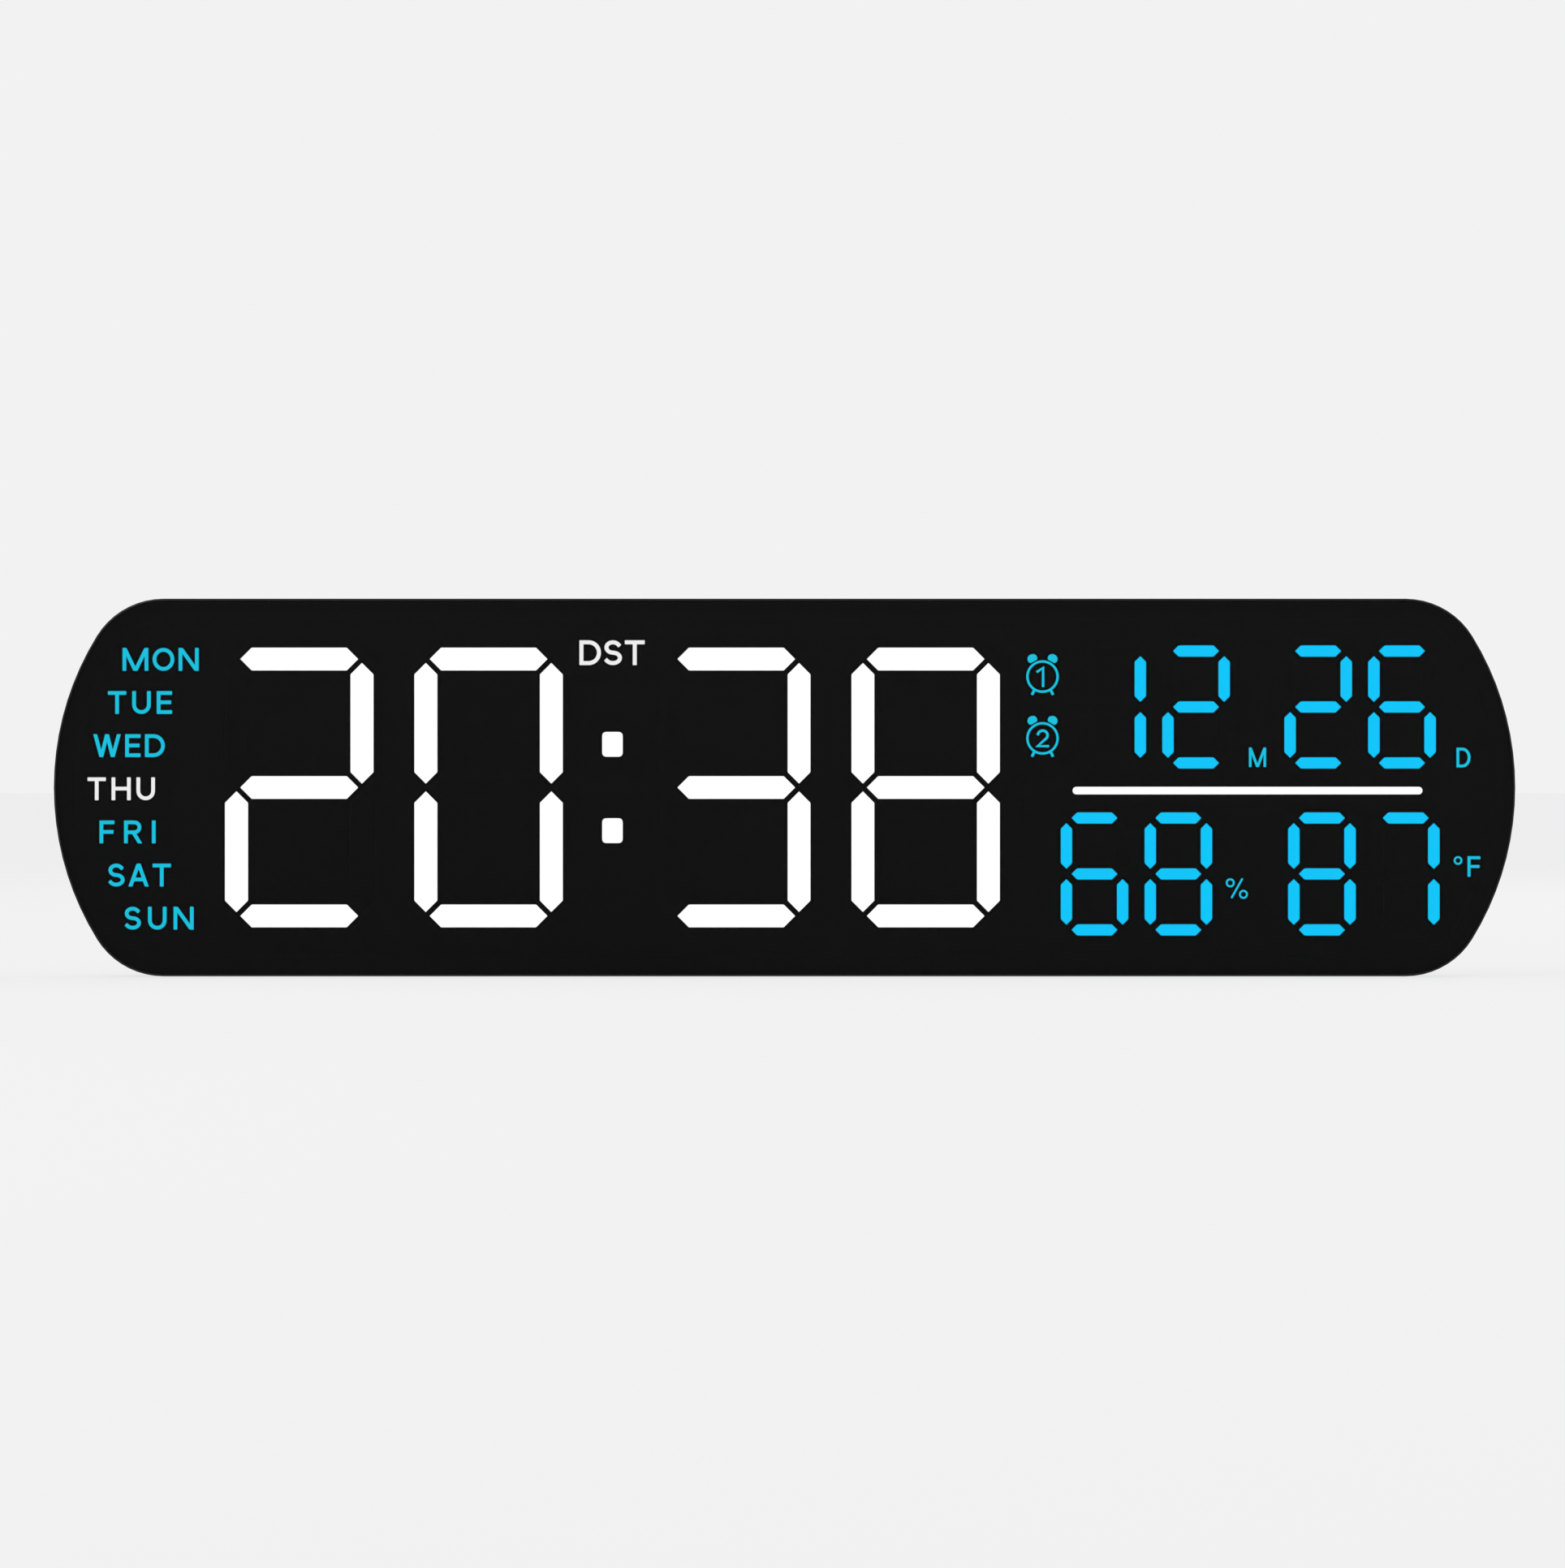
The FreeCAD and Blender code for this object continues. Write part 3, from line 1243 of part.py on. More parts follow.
def foot_housing(cover):
    """A pocket in the back for each foot: a deep chamber for the barrel, open at the bottom
    edge, a shallow one for the plate, ears for the pin and a scoop for a fingertip."""
    half = "(foot_width / 2 + foot_gap)"
    wide = f"(2 * ({half} + pocket_wall))"
    barrel = f"({FOOT_REACH} + foot_gap)"
    floor_y = f"({HINGE_Y} + {FOOT_REACH} - foot_thickness - foot_gap)"
    bottom = "(0 - height / 2)"
    roof = f"({bottom} + edge_round + {barrel})"
    top = f"({bottom} + edge_round + foot_length + foot_gap)"
    low = f"({bottom} + 0.75 * wall)"
    chamber_y = f"({HINGE_Y} - {barrel})"

    def upright_block(work, name, front, back, width, z_low, z_high):
        return work(cover, name, front, f"{back} - {front}", width, f"{z_high} - {z_low}",
                    "foot_x", f"({z_low} + {z_high}) / 2")

    features = [
        upright_block(block_pad, "barrel_house", f"({chamber_y} - pocket_wall)", BACK_INSIDE, wide,
                      low, f"({roof} + pocket_wall)"),
        upright_block(block_pad, "plate_house", f"({floor_y} - pocket_wall)", BACK_INSIDE, wide,
                      low, f"({top} + pocket_wall)"),
        upright_block(block_pocket, "barrel_room", chamber_y, f"({BACK} + 1)", f"2 * {half}",
                      f"({bottom} - 1)", roof),
        upright_block(block_pocket, "plate_room", floor_y, f"({BACK} + 1)", f"2 * {half}",
                      f"({bottom} - 1)", top),
    ]
    features.append(round_pocket(cover, "scoop", floor_y, f"{BACK} - {floor_y} + 1", "scoop_radius",
                                 "foot_x", f"{top} - scoop_radius / 2"))
    ear = new_sketch(cover, "ear_hole", f"foot_x - {wide} / 2", HINGE_Y, f"{HINGE_Z} - height / 2",
                     plane="YZ_Plane")
    draw_circle(ear, "foot_pin_radius")
    features.append(pocket(cover, "ear_hole", ear, wide))
    mirrored(cover, "both_feet", features)


def cable_recess(cover):
    """A recess for the power plug and its lead, open at the back and the bottom edge, with a
    window in its roof."""
    front = f"({BACK} - cable_depth)"
    bottom = "(0 - height / 2)"
    top = f"({bottom} + cable_top)"
    low = f"({bottom} + 0.75 * wall)"
    block_pad(cover, "recess_house", f"({front} - pocket_wall)",
              f"{BACK_INSIDE} - {front} + pocket_wall", "cable_width + 2 * pocket_wall",
              f"{top} + pocket_wall - {low}", "0", f"({top} + pocket_wall + {low}) / 2")
    block_pocket(cover, "recess", front, "cable_depth + 1", "cable_width", "cable_top + 1", "0",
                 f"({bottom} - 1 + {top}) / 2")
    window = new_sketch(cover, "plug_window", f"{top} - 0.5", "0",
                        f"{POWER_BACK} + inlet_thickness / 2", plane="XY_Plane")
    draw_rounded(window, "plug_width", "plug_thickness", "plug_thickness / 4")
    pocket(cover, "plug_window", window, "pocket_wall + 1")


def key_tray(cover):
    block_pad(cover, "tray_house", TRAY_INSIDE, f"{BACK_INSIDE} - {TRAY_INSIDE}",
              "key_tray_length + 2 * pocket_wall", "key_tray_width + 2 * pocket_wall", "0", "key_z")
    tray = new_sketch(cover, "tray", TRAY_FLOOR, "0", "key_z")
    draw_stadium(tray, "key_tray_length", "key_tray_width")
    pocket(cover, "tray", tray, "key_recess + 1")
    hole = new_sketch(cover, "key_hole", TRAY_INSIDE, "0 - 2 * key_pitch", "key_z")
    draw_stadium(hole, "key_length + 2 * key_gap", "key_width + 2 * key_gap")
    first = pocket(cover, "key_hole", hole, "key_tray_wall + 1")
    in_line(cover, "key_holes", [first], "X_Axis", "4 * key_pitch", 5)


def screw_wells(cover):
    """Eight tubes that meet the front frame's bosses, each with a counterbore for its screw."""
    z = "height / 2 - screw_inset"
    for corner, x in SCREW_CORNERS:
        tube = round_pad(cover, f"tube_{corner}", SPLIT, f"{BACK_INSIDE} - {SPLIT}", "boss_radius", x, z)
        well = round_pocket(cover, f"well_{corner}", SCREW_SEAT, f"{BACK} - {SCREW_SEAT} + 1",
                            "case_head_radius + screw_clearance", x, z)
        shaft = round_pocket(cover, f"shaft_{corner}", SPLIT, "case_seat",
                             "case_screw_radius + screw_clearance", x, z)
        mirrored_both(cover, f"wells_{corner}", [tube, well, shaft])


def clamp_posts(cover):
    """Posts that press the main board into the front frame, tied together by ribs."""
    post = round_pad(cover, "post", BOARD_BACK, f"{BACK_INSIDE} - {BOARD_BACK}", "post_radius",
                     "post_x", "post_z")
    mirrored_both(cover, "posts", [post])
    rib = block_pad(cover, "rib", f"({BACK_INSIDE} - rib_height)", "rib_height", "rib_thickness",
                    "2 * post_z", "post_x", "0")
    mirrored(cover, "ribs", [rib])


def cap_collar(cover):
    """The ring that the battery cap locks into, with three notches in its lip."""
    x = "cell_x"
    z = "cell_z"
    groove = "(cap_skirt_radius + cap_lug_reach + cap_gap)"
    round_pad(cover, "collar", COLLAR_FRONT, f"{BACK_INSIDE} - {COLLAR_FRONT}",
              "cap_radius + cap_collar_wall", x, z)
    round_pocket(cover, "cap_recess", RECESS_FLOOR, "cap_thickness + 1", "cap_radius + cap_gap", x, z)
    round_pocket(cover, "collar_bore", COLLAR_FRONT, f"{BACK} - {COLLAR_FRONT}",
                 "cap_skirt_radius + cap_gap", x, z)
    round_pocket(cover, "groove", COLLAR_FRONT, f"{LIP_FRONT} - {COLLAR_FRONT}", groove, x, z)
    notch = new_sketch(cover, "notch", COLLAR_FRONT, x, z, turn=0.0 - value("cap_turn"))
    draw_sector(notch, "cap_skirt_radius", groove, "cap_lug_angle + cap_notch_slack")
    three_around(cover, "notches", pocket(cover, "notch", notch, f"{RECESS_FLOOR} - {COLLAR_FRONT} + 0.1"))


def openings(cover):
    """Vents over the climate sensor, sound holes over the buzzer and the two keyholes."""
    slot = new_sketch(cover, "vent", BACK_INSIDE, "vent_x - 2.5 * vent_pitch", "vent_z", turn=90.0)
    draw_stadium(slot, "vent_length", "vent_width")
    vent = pocket(cover, "vent", slot, "wall + 1")
    in_line(cover, "vents", [vent], "X_Axis", "5 * vent_pitch", 6)
    holes = new_sketch(cover, "sound_holes", BACK_INSIDE, "sound_x", "sound_z")
    draw_circle(holes, "sound_hole_radius")
    for turn in range(0, 360, 60):
        draw_circle(holes, "sound_hole_radius", f"sound_ring * cos({turn})", f"sound_ring * sin({turn})")
    pocket(cover, "sound_holes", holes, "wall + 1")
    keyhole = new_sketch(cover, "keyhole", BACK_INSIDE, "keyhole_x", "keyhole_z")
    draw_keyhole(keyhole)
    mirrored(cover, "keyholes", [pocket(cover, "keyhole", keyhole, "wall + 1")])


def make_rear_cover():
    """The moulded rear half of the housing."""
    cover = new_body("rear_cover")
    shell = outline_pad(cover, "shell", SPLIT, f"{BACK} - {SPLIT}", "0")
    rim = edges_at(cover.Shape, value(BACK))
    round_edges(cover, "back_edge", shell, rim, "edge_round")
    inside = new_sketch(cover, "inside", SPLIT)
    draw_outline(inside, "wall")
    hollow = pocket(cover, "inside", inside, f"{BACK_INSIDE} - {SPLIT}")
    floor_rim = edges_at(cover.Shape, value(BACK_INSIDE))
    bevel_edges(cover, "inside_edge", hollow, floor_rim, "edge_round - wall")
    rebate = new_sketch(cover, "rebate", SPLIT)
    draw_outline(rebate, "wall / 2")
    pocket(cover, "rebate", rebate, "lip_height + lip_gap")
    clamp_posts(cover)
    screw_wells(cover)
    foot_housing(cover)
    cable_recess(cover)
    key_tray(cover)
    cap_collar(cover)
    openings(cover)
    kept(cover)
    screws = new_body("case_screws")
    for corner, x in SCREW_CORNERS:
        made = make_screw(screws, corner, SCREW_SEAT, "screw_length", "case", x,
                          "height / 2 - screw_inset")
        mirrored_both(screws, f"{corner}_all", made)
    kept(screws)


# ---------------------------------------------------------------- assembly

make_front()
make_digits()
make_marks()
make_windows()
cells = make_cell_tools()
make_light_box(cells)
make_film(cells)
make_front_frame()
make_main_board()
make_chips()
make_board_screws()
make_power_board()
make_inlet()
make_components()
make_keys()
make_feet()
make_cap()
make_cell()
make_rear_cover()
doc.recompute()

for item in doc.Objects:
    if "Invalid" in item.State or "Error" in item.State:
        raise RuntimeError(f"{item.Name} failed: {item.State}")
os.makedirs("parts", exist_ok=True)
for node in parts:
    if node.Shape.isNull() or not node.Shape.isValid():
        raise RuntimeError(f"{node.Label} has no sound shape")
    node.Shape.exportStep(f"parts/{node.Label}.step")
    print(node.Label, len(node.Shape.Solids), round(node.Shape.Volume, 1))
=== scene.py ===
import math

import bmesh
import bpy
import numpy as np
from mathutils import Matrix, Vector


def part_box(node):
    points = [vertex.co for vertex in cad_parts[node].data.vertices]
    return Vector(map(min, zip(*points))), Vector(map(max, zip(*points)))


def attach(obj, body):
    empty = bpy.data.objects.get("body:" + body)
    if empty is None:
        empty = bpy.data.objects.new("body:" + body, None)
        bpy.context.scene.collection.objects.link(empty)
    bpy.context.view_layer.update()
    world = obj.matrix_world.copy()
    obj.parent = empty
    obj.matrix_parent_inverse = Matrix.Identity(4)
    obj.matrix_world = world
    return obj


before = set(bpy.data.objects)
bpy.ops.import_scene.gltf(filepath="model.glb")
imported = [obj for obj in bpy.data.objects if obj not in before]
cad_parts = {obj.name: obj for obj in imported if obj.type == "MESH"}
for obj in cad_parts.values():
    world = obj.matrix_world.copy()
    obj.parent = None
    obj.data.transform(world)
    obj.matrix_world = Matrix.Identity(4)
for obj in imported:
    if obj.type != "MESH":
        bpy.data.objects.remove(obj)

# A flat clock that shows the time, weekday, date, humidity and temperature in lit segments behind
# one smoked panel.  X runs to the right along the face, +Y out of the back, and Z up from the edge
# it stands on.  Boxes of CAD nodes and the stage are in metres, and the tables of marks in mm.

bl_info = {
    "name": "Day Clock",
    "version": (1, 0, 0),
    "blender": (4, 5, 0),
    "location": "3D View > Sidebar > Day Clock",
    "description": "Finishes, printed signs and studio for the lit day clock",
    "category": "Object",
}

MM = 0.001
HOUSING = "housing"
PANEL_LOW, PANEL_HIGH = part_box("front_lens")
FILM_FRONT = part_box("mask_film")[0].y
FACE_MIDDLE = ((PANEL_LOW.x + PANEL_HIGH.x) / 2, (PANEL_LOW.z + PANEL_HIGH.z) / 2)

# Names of the plain materials that came with the CAD nodes.  No finish takes one of them.
PLAIN_NAMES = {material.name for material in bpy.data.materials}

# Bars of a digit as lines on a square from -1 to 1, the bars that each figure lights, and a bar's
# width as a share of the digit's height.
BARS = {
    "a": ((-1, 1), (1, 1)),
    "b": ((1, 1), (1, 0)),
    "c": ((1, 0), (1, -1)),
    "d": ((-1, -1), (1, -1)),
    "e": ((-1, -1), (-1, 0)),
    "f": ((-1, 0), (-1, 1)),
    "g": ((-1, 0), (1, 0)),
}
FIGURES = ("abcdef", "bc", "abged", "abgcd", "fgbc", "afgcd", "afgedc", "abc", "abcdefg", "abcdfg")
BAR_SHARE = 0.085

# The panel: the least share of a flat face's normal along Y, the radii of its bowed ends and its
# corners, and the outer and inner inset of the border printed on its back, in mm.
FLAT_ENOUGH = 0.999
END_RADIUS = 65.2
CORNER_RADIUS = 17.7
BORDER_INSET = (0.1, 4.3)

# Weekdays: the left edge from the middle of the face and the space between letters, then their
# height, their stroke, the height of the middle one, the pitch of the rows, in mm, and the share of
# a bar's light that a white word has.
WEEKDAYS = {
    "MON": (-149.6, 0.98),
    "TUE": (-152.9, 1.37),
    "WED": (-156.2, 1.02),
    "THU": (-157.5, 1.30),
    "FRI": (-154.8, 2.20),
    "SAT": (-152.9, 0.90),
    "SUN": (-149.2, 1.60),
}
WORD_CAP = 5.15
WORD_STROKE = 0.83
WORD_MIDDLE = 42.36
WORD_PITCH = 9.75
WORD_SHARE = 0.8

# Other marks on the film.  A word has its text, left edge, middle height, letter height, stroke,
# space between letters and share of their usual width, a ring its middle, radius and stroke, and a
# dash its two ends and stroke.  Lengths are in mm, across from the middle of the face.
SUMMER_TIME = ("DST", -46.35, 73.12, 5.6, 0.9, 0.65)
SIGNS = {
    "sign_month": [("word", "M", 104.95, 49.48, 4.4, 0.58, 0.0, 0.78)],
    "sign_day": [("word", "D", 151.85, 49.42, 4.45, 0.63, 0.0, 0.82)],
    "sign_percent": [("ring", 100.72, 21.1, 0.8, 0.42), ("ring", 103.7, 18.5, 0.8, 0.42),
                     ("dash", (101.1, 17.85), (103.38, 21.9), 0.43)],
    "sign_fahrenheit": [("ring", 152.2, 26.15, 0.76, 0.43),
                        ("word", "F", 154.35, 24.8, 4.62, 0.67, 0.0, 0.96)],
}

# Alarm signs: how far across they stand, and each number's middle height and letter height.  Then,
# about the middle, the ring's radius and stroke, a bell's place, width, height and tilt in degrees,
# a foot's two ends and stroke, and the number's left edge and stroke, in mm.
ALARM_ACROSS = 58.3
ALARMS = {"1": (67.72, 4.72), "2": (53.75, 4.08)}
ALARM_RING = (3.42, 0.52)
ALARM_BELL = (2.3, 4.05, 2.25, 2.0, -29.0)
ALARM_FOOT = ((1.95, -3.25), (2.25, -3.85), 0.62)
ALARM_NUMBER = (-1.38, 0.57)

# How far all ink stands out of the face it is printed on and reaches into it, in mm.
INK_RISE = 0.12
INK_SUNK = 0.05

# Heights far past any mark, in metres.  Strokes that aren't cut level are given these.
NO_FLOOR = -1.0
NO_CEILING = 1.0

# Case screws: radius of a head, how far out the inner ones stand, and the reach and stroke of the
# painted shade of the cross recess in each head.  Then the stroke of the signs on the keys.
# All are in mm.
SCREW_HEAD = 2.0
INNER_SCREW = 45.0
RECESS_REACH = 0.95
RECESS_STROKE = 0.5
KEY_STROKE = 0.4

# Grained finishes: colour, roughness, fineness of the grain, its depth in metres, metallic and
# specular.  Only the panel's front face veils the border's ink, so it is a little paler than the
# film, which both faces veil, and the two look the same.
FINISHES = {
    "dark_resin": ((0.0015, 0.0015, 0.0015), 0.7, 1500.0, 0.00002, 0.0, 0.0),
    "matt_film": ((0.0015, 0.0015, 0.0015), 0.8, 3000.0, 0.00002, 0.0, 0.0),
    "border_ink": ((0.007, 0.007, 0.007), 0.8, 3000.0, 0.00002, 0.0, 0.0),
    "foam_tape": ((0.005, 0.005, 0.005), 0.95, 1800.0, 0.00008, 0.0, 0.0),
    "cell_block": ((0.015, 0.015, 0.015), 0.6, 1200.0, 0.00002, 0.0, 0.5),
    "pale_stem": ((0.6, 0.59, 0.55), 0.45, 900.0, 0.00002, 0.0, 0.5),
    "soft_rubber": ((0.02, 0.02, 0.02), 0.85, 1400.0, 0.00005, 0.0, 0.5),
    # recess_shade is painted shade: the dark inside the case screws' cross recesses.
    "recess_shade": ((0.02, 0.02, 0.021), 0.6, 1600.0, 0.00002, 0.5, 0.5),
    "pale_print": ((0.55, 0.55, 0.55), 0.6, 2500.0, 0.000004, 0.0, 0.5),
    "moulding_compound": ((0.014, 0.014, 0.015), 0.6, 2200.0, 0.00002, 0.0, 0.5),
    "zinc_steel": ((0.36, 0.36, 0.37), 0.32, 1600.0, 0.000005, 1.0, 0.5),
    "nickel_plate": ((0.66, 0.65, 0.62), 0.22, 1200.0, 0.000004, 1.0, 0.5),
    "turned_brass": ((0.72, 0.5, 0.2), 0.3, 1500.0, 0.000006, 1.0, 0.5),
    "white_phosphor": ((0.85, 0.72, 0.28), 0.35, 1500.0, 0.000004, 0.0, 0.5),
    "clear_chip": ((0.55, 0.68, 0.75), 0.25, 1500.0, 0.000004, 0.0, 0.5),
}

# Stage: half the floor's width and how far it lies under the foot, the share of the background's
# colour in what is seen of the floor, the world's strength, each lamp's place and their width, and
# how far the camera sees, in metres.  The sensor, and the camera's place from the middle of the
# face, are in mm.
FLOOR_HALF = 40.0
FLOOR_DROP = 0.0002
FLOOR_SHINE = 0.85
WORLD_STRENGTH = 0.72
LAMPS = {"lamp_front": (-0.9, -1.2, 1.3), "lamp_back": (0.9, 1.3, 1.2)}
LAMP_WIDTH = 1.2
VIEW_END = 200.0
SENSOR = 36.0
CAMERA_ASIDE = -0.46
CAMERA_ABOVE = 0.79


# ---------------------------------------------------------------- settings

class ClockDisplay(bpy.types.PropertyGroup):
    """What the display shows, and the colours of its light."""
    hours: bpy.props.IntProperty(
        name="Hours", description="Hours shown", default=20, min=0, max=23)
    minutes: bpy.props.IntProperty(
        name="Minutes", description="Minutes shown", default=38, min=0, max=59)
    month: bpy.props.IntProperty(
        name="Month", description="Month shown", default=12, min=1, max=12)
    day: bpy.props.IntProperty(
        name="Day", description="Day of the month shown", default=26, min=1, max=31)
    humidity: bpy.props.IntProperty(
        name="Humidity", description="Relative humidity shown", default=68, min=10, max=99,
        subtype="PERCENTAGE")
    temperature: bpy.props.IntProperty(
        name="Temperature", description="Degrees Fahrenheit shown", default=87, min=10, max=99)
    weekday: bpy.props.EnumProperty(
        name="Weekday", description="Weekday lit in white", default="THU",
        items=[(word, word, f"Lights {word}") for word in WEEKDAYS])
    white: bpy.props.FloatVectorProperty(
        name="White light", description="Colour of the white bars", default=(1.0, 1.0, 1.0),
        min=0.0, max=1.0, subtype="COLOR")
    blue: bpy.props.FloatVectorProperty(
        name="Blue light", description="Colour of the blue bars", default=(0.001, 0.52, 0.885),
        min=0.0, max=1.0, subtype="COLOR")
    sign_blue: bpy.props.FloatVectorProperty(
        name="Sign blue", description="Colour of the printed signs", default=(0.006, 0.49, 0.67),
        min=0.0, max=1.0, subtype="COLOR")
    panel_cover: bpy.props.FloatProperty(
        name="Panel cover", description="Share of light one face stops", default=0.45,
        min=0.0, max=1.0, subtype="FACTOR")


class ClockCase(bpy.types.PropertyGroup):
    """Colours of the moulded case and its keys."""
    plastic: bpy.props.FloatVectorProperty(
        name="Case", description="Colour of the moulded case", default=(0.012, 0.012, 0.013),
        min=0.0, max=1.0, subtype="COLOR")
    keys: bpy.props.FloatVectorProperty(
        name="Keys", description="Colour of the five keys", default=(0.035, 0.035, 0.037),
        min=0.0, max=1.0, subtype="COLOR")
    grain: bpy.props.FloatProperty(
        name="Grain", description="Size of the case's fine texture", default=0.0004,
        min=0.0001, max=0.005, unit="LENGTH")


class ClockStage(bpy.types.PropertyGroup):
    """Background, lamps and camera."""
    pale: bpy.props.FloatVectorProperty(
        name="Background", description="Colour behind the clock", default=(0.888, 0.888, 0.888),
        min=0.0, max=1.0, subtype="COLOR")
    lamp_power: bpy.props.FloatProperty(
        name="Lamp power", description="Power of each soft lamp", default=9.0, min=0.0,
        unit="POWER")
    focal_length: bpy.props.FloatProperty(
        name="Focal length", description="Camera focal length, in mm", default=200.0, min=20.0)
    view_height: bpy.props.FloatProperty(
        name="View height", description="Height the picture spans", default=0.35402, min=0.05,
        unit="LENGTH")


def display():
    return bpy.context.scene.clock_display


def case():
    return bpy.context.scene.clock_case


def stage():
    return bpy.context.scene.clock_stage


# ---------------------------------------------------------------- shader groups

def new_group(name, inputs, outputs):
    """A shader node group.  Inputs are (name, socket type, default), and outputs (name, type)."""
    tree = bpy.data.node_groups.new(name, "ShaderNodeTree")
    for label, kind, default in inputs:
        socket = tree.interface.new_socket(name=label, in_out="INPUT", socket_type=kind)
        socket.default_value = default
    for label, kind in outputs:
        tree.interface.new_socket(name=label, in_out="OUTPUT", socket_type=kind)
    return tree, tree.nodes.new("NodeGroupInput"), tree.nodes.new("NodeGroupOutput")


def moulded_grain_group():
    """Fine spark-eroded grain: noise on Object coordinates, as a bumped normal."""
    tree, given, made = new_group(
        "moulded_grain",
        [("Scale", "NodeSocketFloat", 2500.0), ("Depth", "NodeSocketFloat", 0.00002)],
        [("Normal", "NodeSocketVector")])
    place = tree.nodes.new("ShaderNodeTexCoord")
    noise = tree.nodes.new("ShaderNodeTexNoise")
    bump = tree.nodes.new("ShaderNodeBump")
    noise.inputs["Detail"].default_value = 3.0
    tree.links.new(place.outputs["Object"], noise.inputs["Vector"])
    tree.links.new(given.outputs["Scale"], noise.inputs["Scale"])
    tree.links.new(noise.outputs["Fac"], bump.inputs["Height"])
    tree.links.new(given.outputs["Depth"], bump.inputs["Distance"])
    tree.links.new(bump.outputs["Normal"], made.inputs["Normal"])
    return tree


def copper_tracks_group():
    """Tracks under solder mask: the edges of square cells on Object coordinates, as a colour."""
    tree, given, made = new_group(
        "copper_tracks",
        [("Mask colour", "NodeSocketColor", (0.004, 0.05, 0.022, 1.0)),
         ("Track colour", "NodeSocketColor", (0.012, 0.13, 0.05, 1.0))],
        [("Color", "NodeSocketColor")])
    place = tree.nodes.new("ShaderNodeTexCoord")
    cells = tree.nodes.new("ShaderNodeTexVoronoi")
    edge = tree.nodes.new("ShaderNodeMath")
    mix = tree.nodes.new("ShaderNodeMix")
    cells.feature = "DISTANCE_TO_EDGE"
    cells.inputs["Scale"].default_value = 160.0
    cells.inputs["Randomness"].default_value = 0.35
    edge.operation = "LESS_THAN"
    edge.inputs[1].default_value = 0.04
    mix.data_type = "RGBA"
    tree.links.new(place.outputs["Object"], cells.inputs["Vector"])
    tree.links.new(cells.outputs["Distance"], edge.inputs[0])
    tree.links.new(edge.outputs["Value"], mix.inputs["Factor"])
    tree.links.new(given.outputs["Mask colour"], mix.inputs["A"])
    tree.links.new(given.outputs["Track colour"], mix.inputs["B"])
    tree.links.new(mix.outputs["Result"], made.inputs["Color"])
    return tree


def group_in(material, name, maker):
    """The shared group as a node of this material, made the first time it is wanted."""
    node = material.node_tree.nodes.new("ShaderNodeGroup")
    node.node_tree = bpy.data.node_groups.get(name) or maker()
    return node


# ---------------------------------------------------------------- materials

def surface(name, colour, roughness, metallic=0.0, specular=0.5):
    """A Principled material with plain values on its own sockets, and its shader when it is new."""
    if name in PLAIN_NAMES:
        raise ValueError(f"{name} is the name of a plain material")
    found = bpy.data.materials.get(name)
    if found:
        return found, None
    material = bpy.data.materials.new(name)
    material.use_nodes = True
    shader = material.node_tree.nodes["Principled BSDF"]
    shader.inputs["Base Color"].default_value = (*colour, 1.0)
    shader.inputs["Roughness"].default_value = roughness
    shader.inputs["Metallic"].default_value = metallic
    shader.inputs["Specular IOR Level"].default_value = specular
    return material, shader


def grained(name, colour, roughness, scale, depth, metallic=0.0, specular=0.5):
    """A material with the moulded grain on its normal."""
    material, shader = surface(name, colour, roughness, metallic, specular)
    if shader:
        grain = group_in(material, "moulded_grain", moulded_grain_group)
        grain.inputs["Scale"].default_value = scale
        grain.inputs["Depth"].default_value = depth
        material.node_tree.links.new(grain.outputs["Normal"], shader.inputs["Normal"])
    return material


def finish(name):
    """A grained material from the table of finishes."""
    return grained(name, *FINISHES[name])


def smoked_panel():
    """Tinted acrylic whose two flat faces each stop their share of the light behind them."""
    material, shader = surface("smoked_panel", (0.011, 0.011, 0.011), 0.22, specular=0.045)
    if shader:
        shader.inputs["Alpha"].default_value = display().panel_cover
    return material


def panel_edge():
    """The panel's edge, black because so much tinted acrylic is seen through it."""
    return surface("panel_edge", (0.006, 0.006, 0.006), 0.25, specular=0.3)[0]


def glowing(name, colour):
    """Milky resin with its chip on.  Both faces of the panel take their share of its light, so its
    strength is the reciprocal of what gets through them."""
    material, shader = surface(name, (0.002, 0.002, 0.002), 0.5, specular=0.0)
    if shader:
        shader.inputs["Emission Color"].default_value = (*colour, 1.0)
        shader.inputs["Emission Strength"].default_value = 1.06 / (1 - display().panel_cover) ** 2
    return material


def white_glow():
    return glowing("white_glow", display().white)


def word_glow():
    """White words glow less than the bars, since one small chip lights a whole word."""
    return glowing("word_glow", [WORD_SHARE * part for part in display().white])


def blue_glow():
    return glowing("blue_glow", display().blue)


def sign_glow():
    return glowing("sign_glow", display().sign_blue)


def case_plastic():
    return grained("case_plastic", case().plastic, 0.55, 1.0 / case().grain, 0.00002, specular=0.4)


def key_plastic():
    return grained("key_plastic", case().keys, 0.42, 1.5 / case().grain, 0.00001)


def green_laminate():
    """Glass laminate with its copper tracks under the mask."""
    material, shader = surface("green_laminate", (0.004, 0.05, 0.022), 0.35)
    if shader:
        tracks = group_in(material, "copper_tracks", copper_tracks_group)
        material.node_tree.links.new(tracks.outputs["Color"], shader.inputs["Base Color"])
    return material


def paint(nodes, *materials):
    """Gives CAD nodes their finish in place of the plain one."""
    for node in nodes:
        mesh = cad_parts[node].data
        mesh.materials.clear()
        for material in materials:
            mesh.materials.append(material)


def face_values(mesh, name):
    """The centre or the normal of every face, one row each."""
    values = np.empty(len(mesh.polygons) * 3)
    mesh.polygons.foreach_get(name, values)
    return values.reshape(-1, 3)


# ---------------------------------------------------------------- display

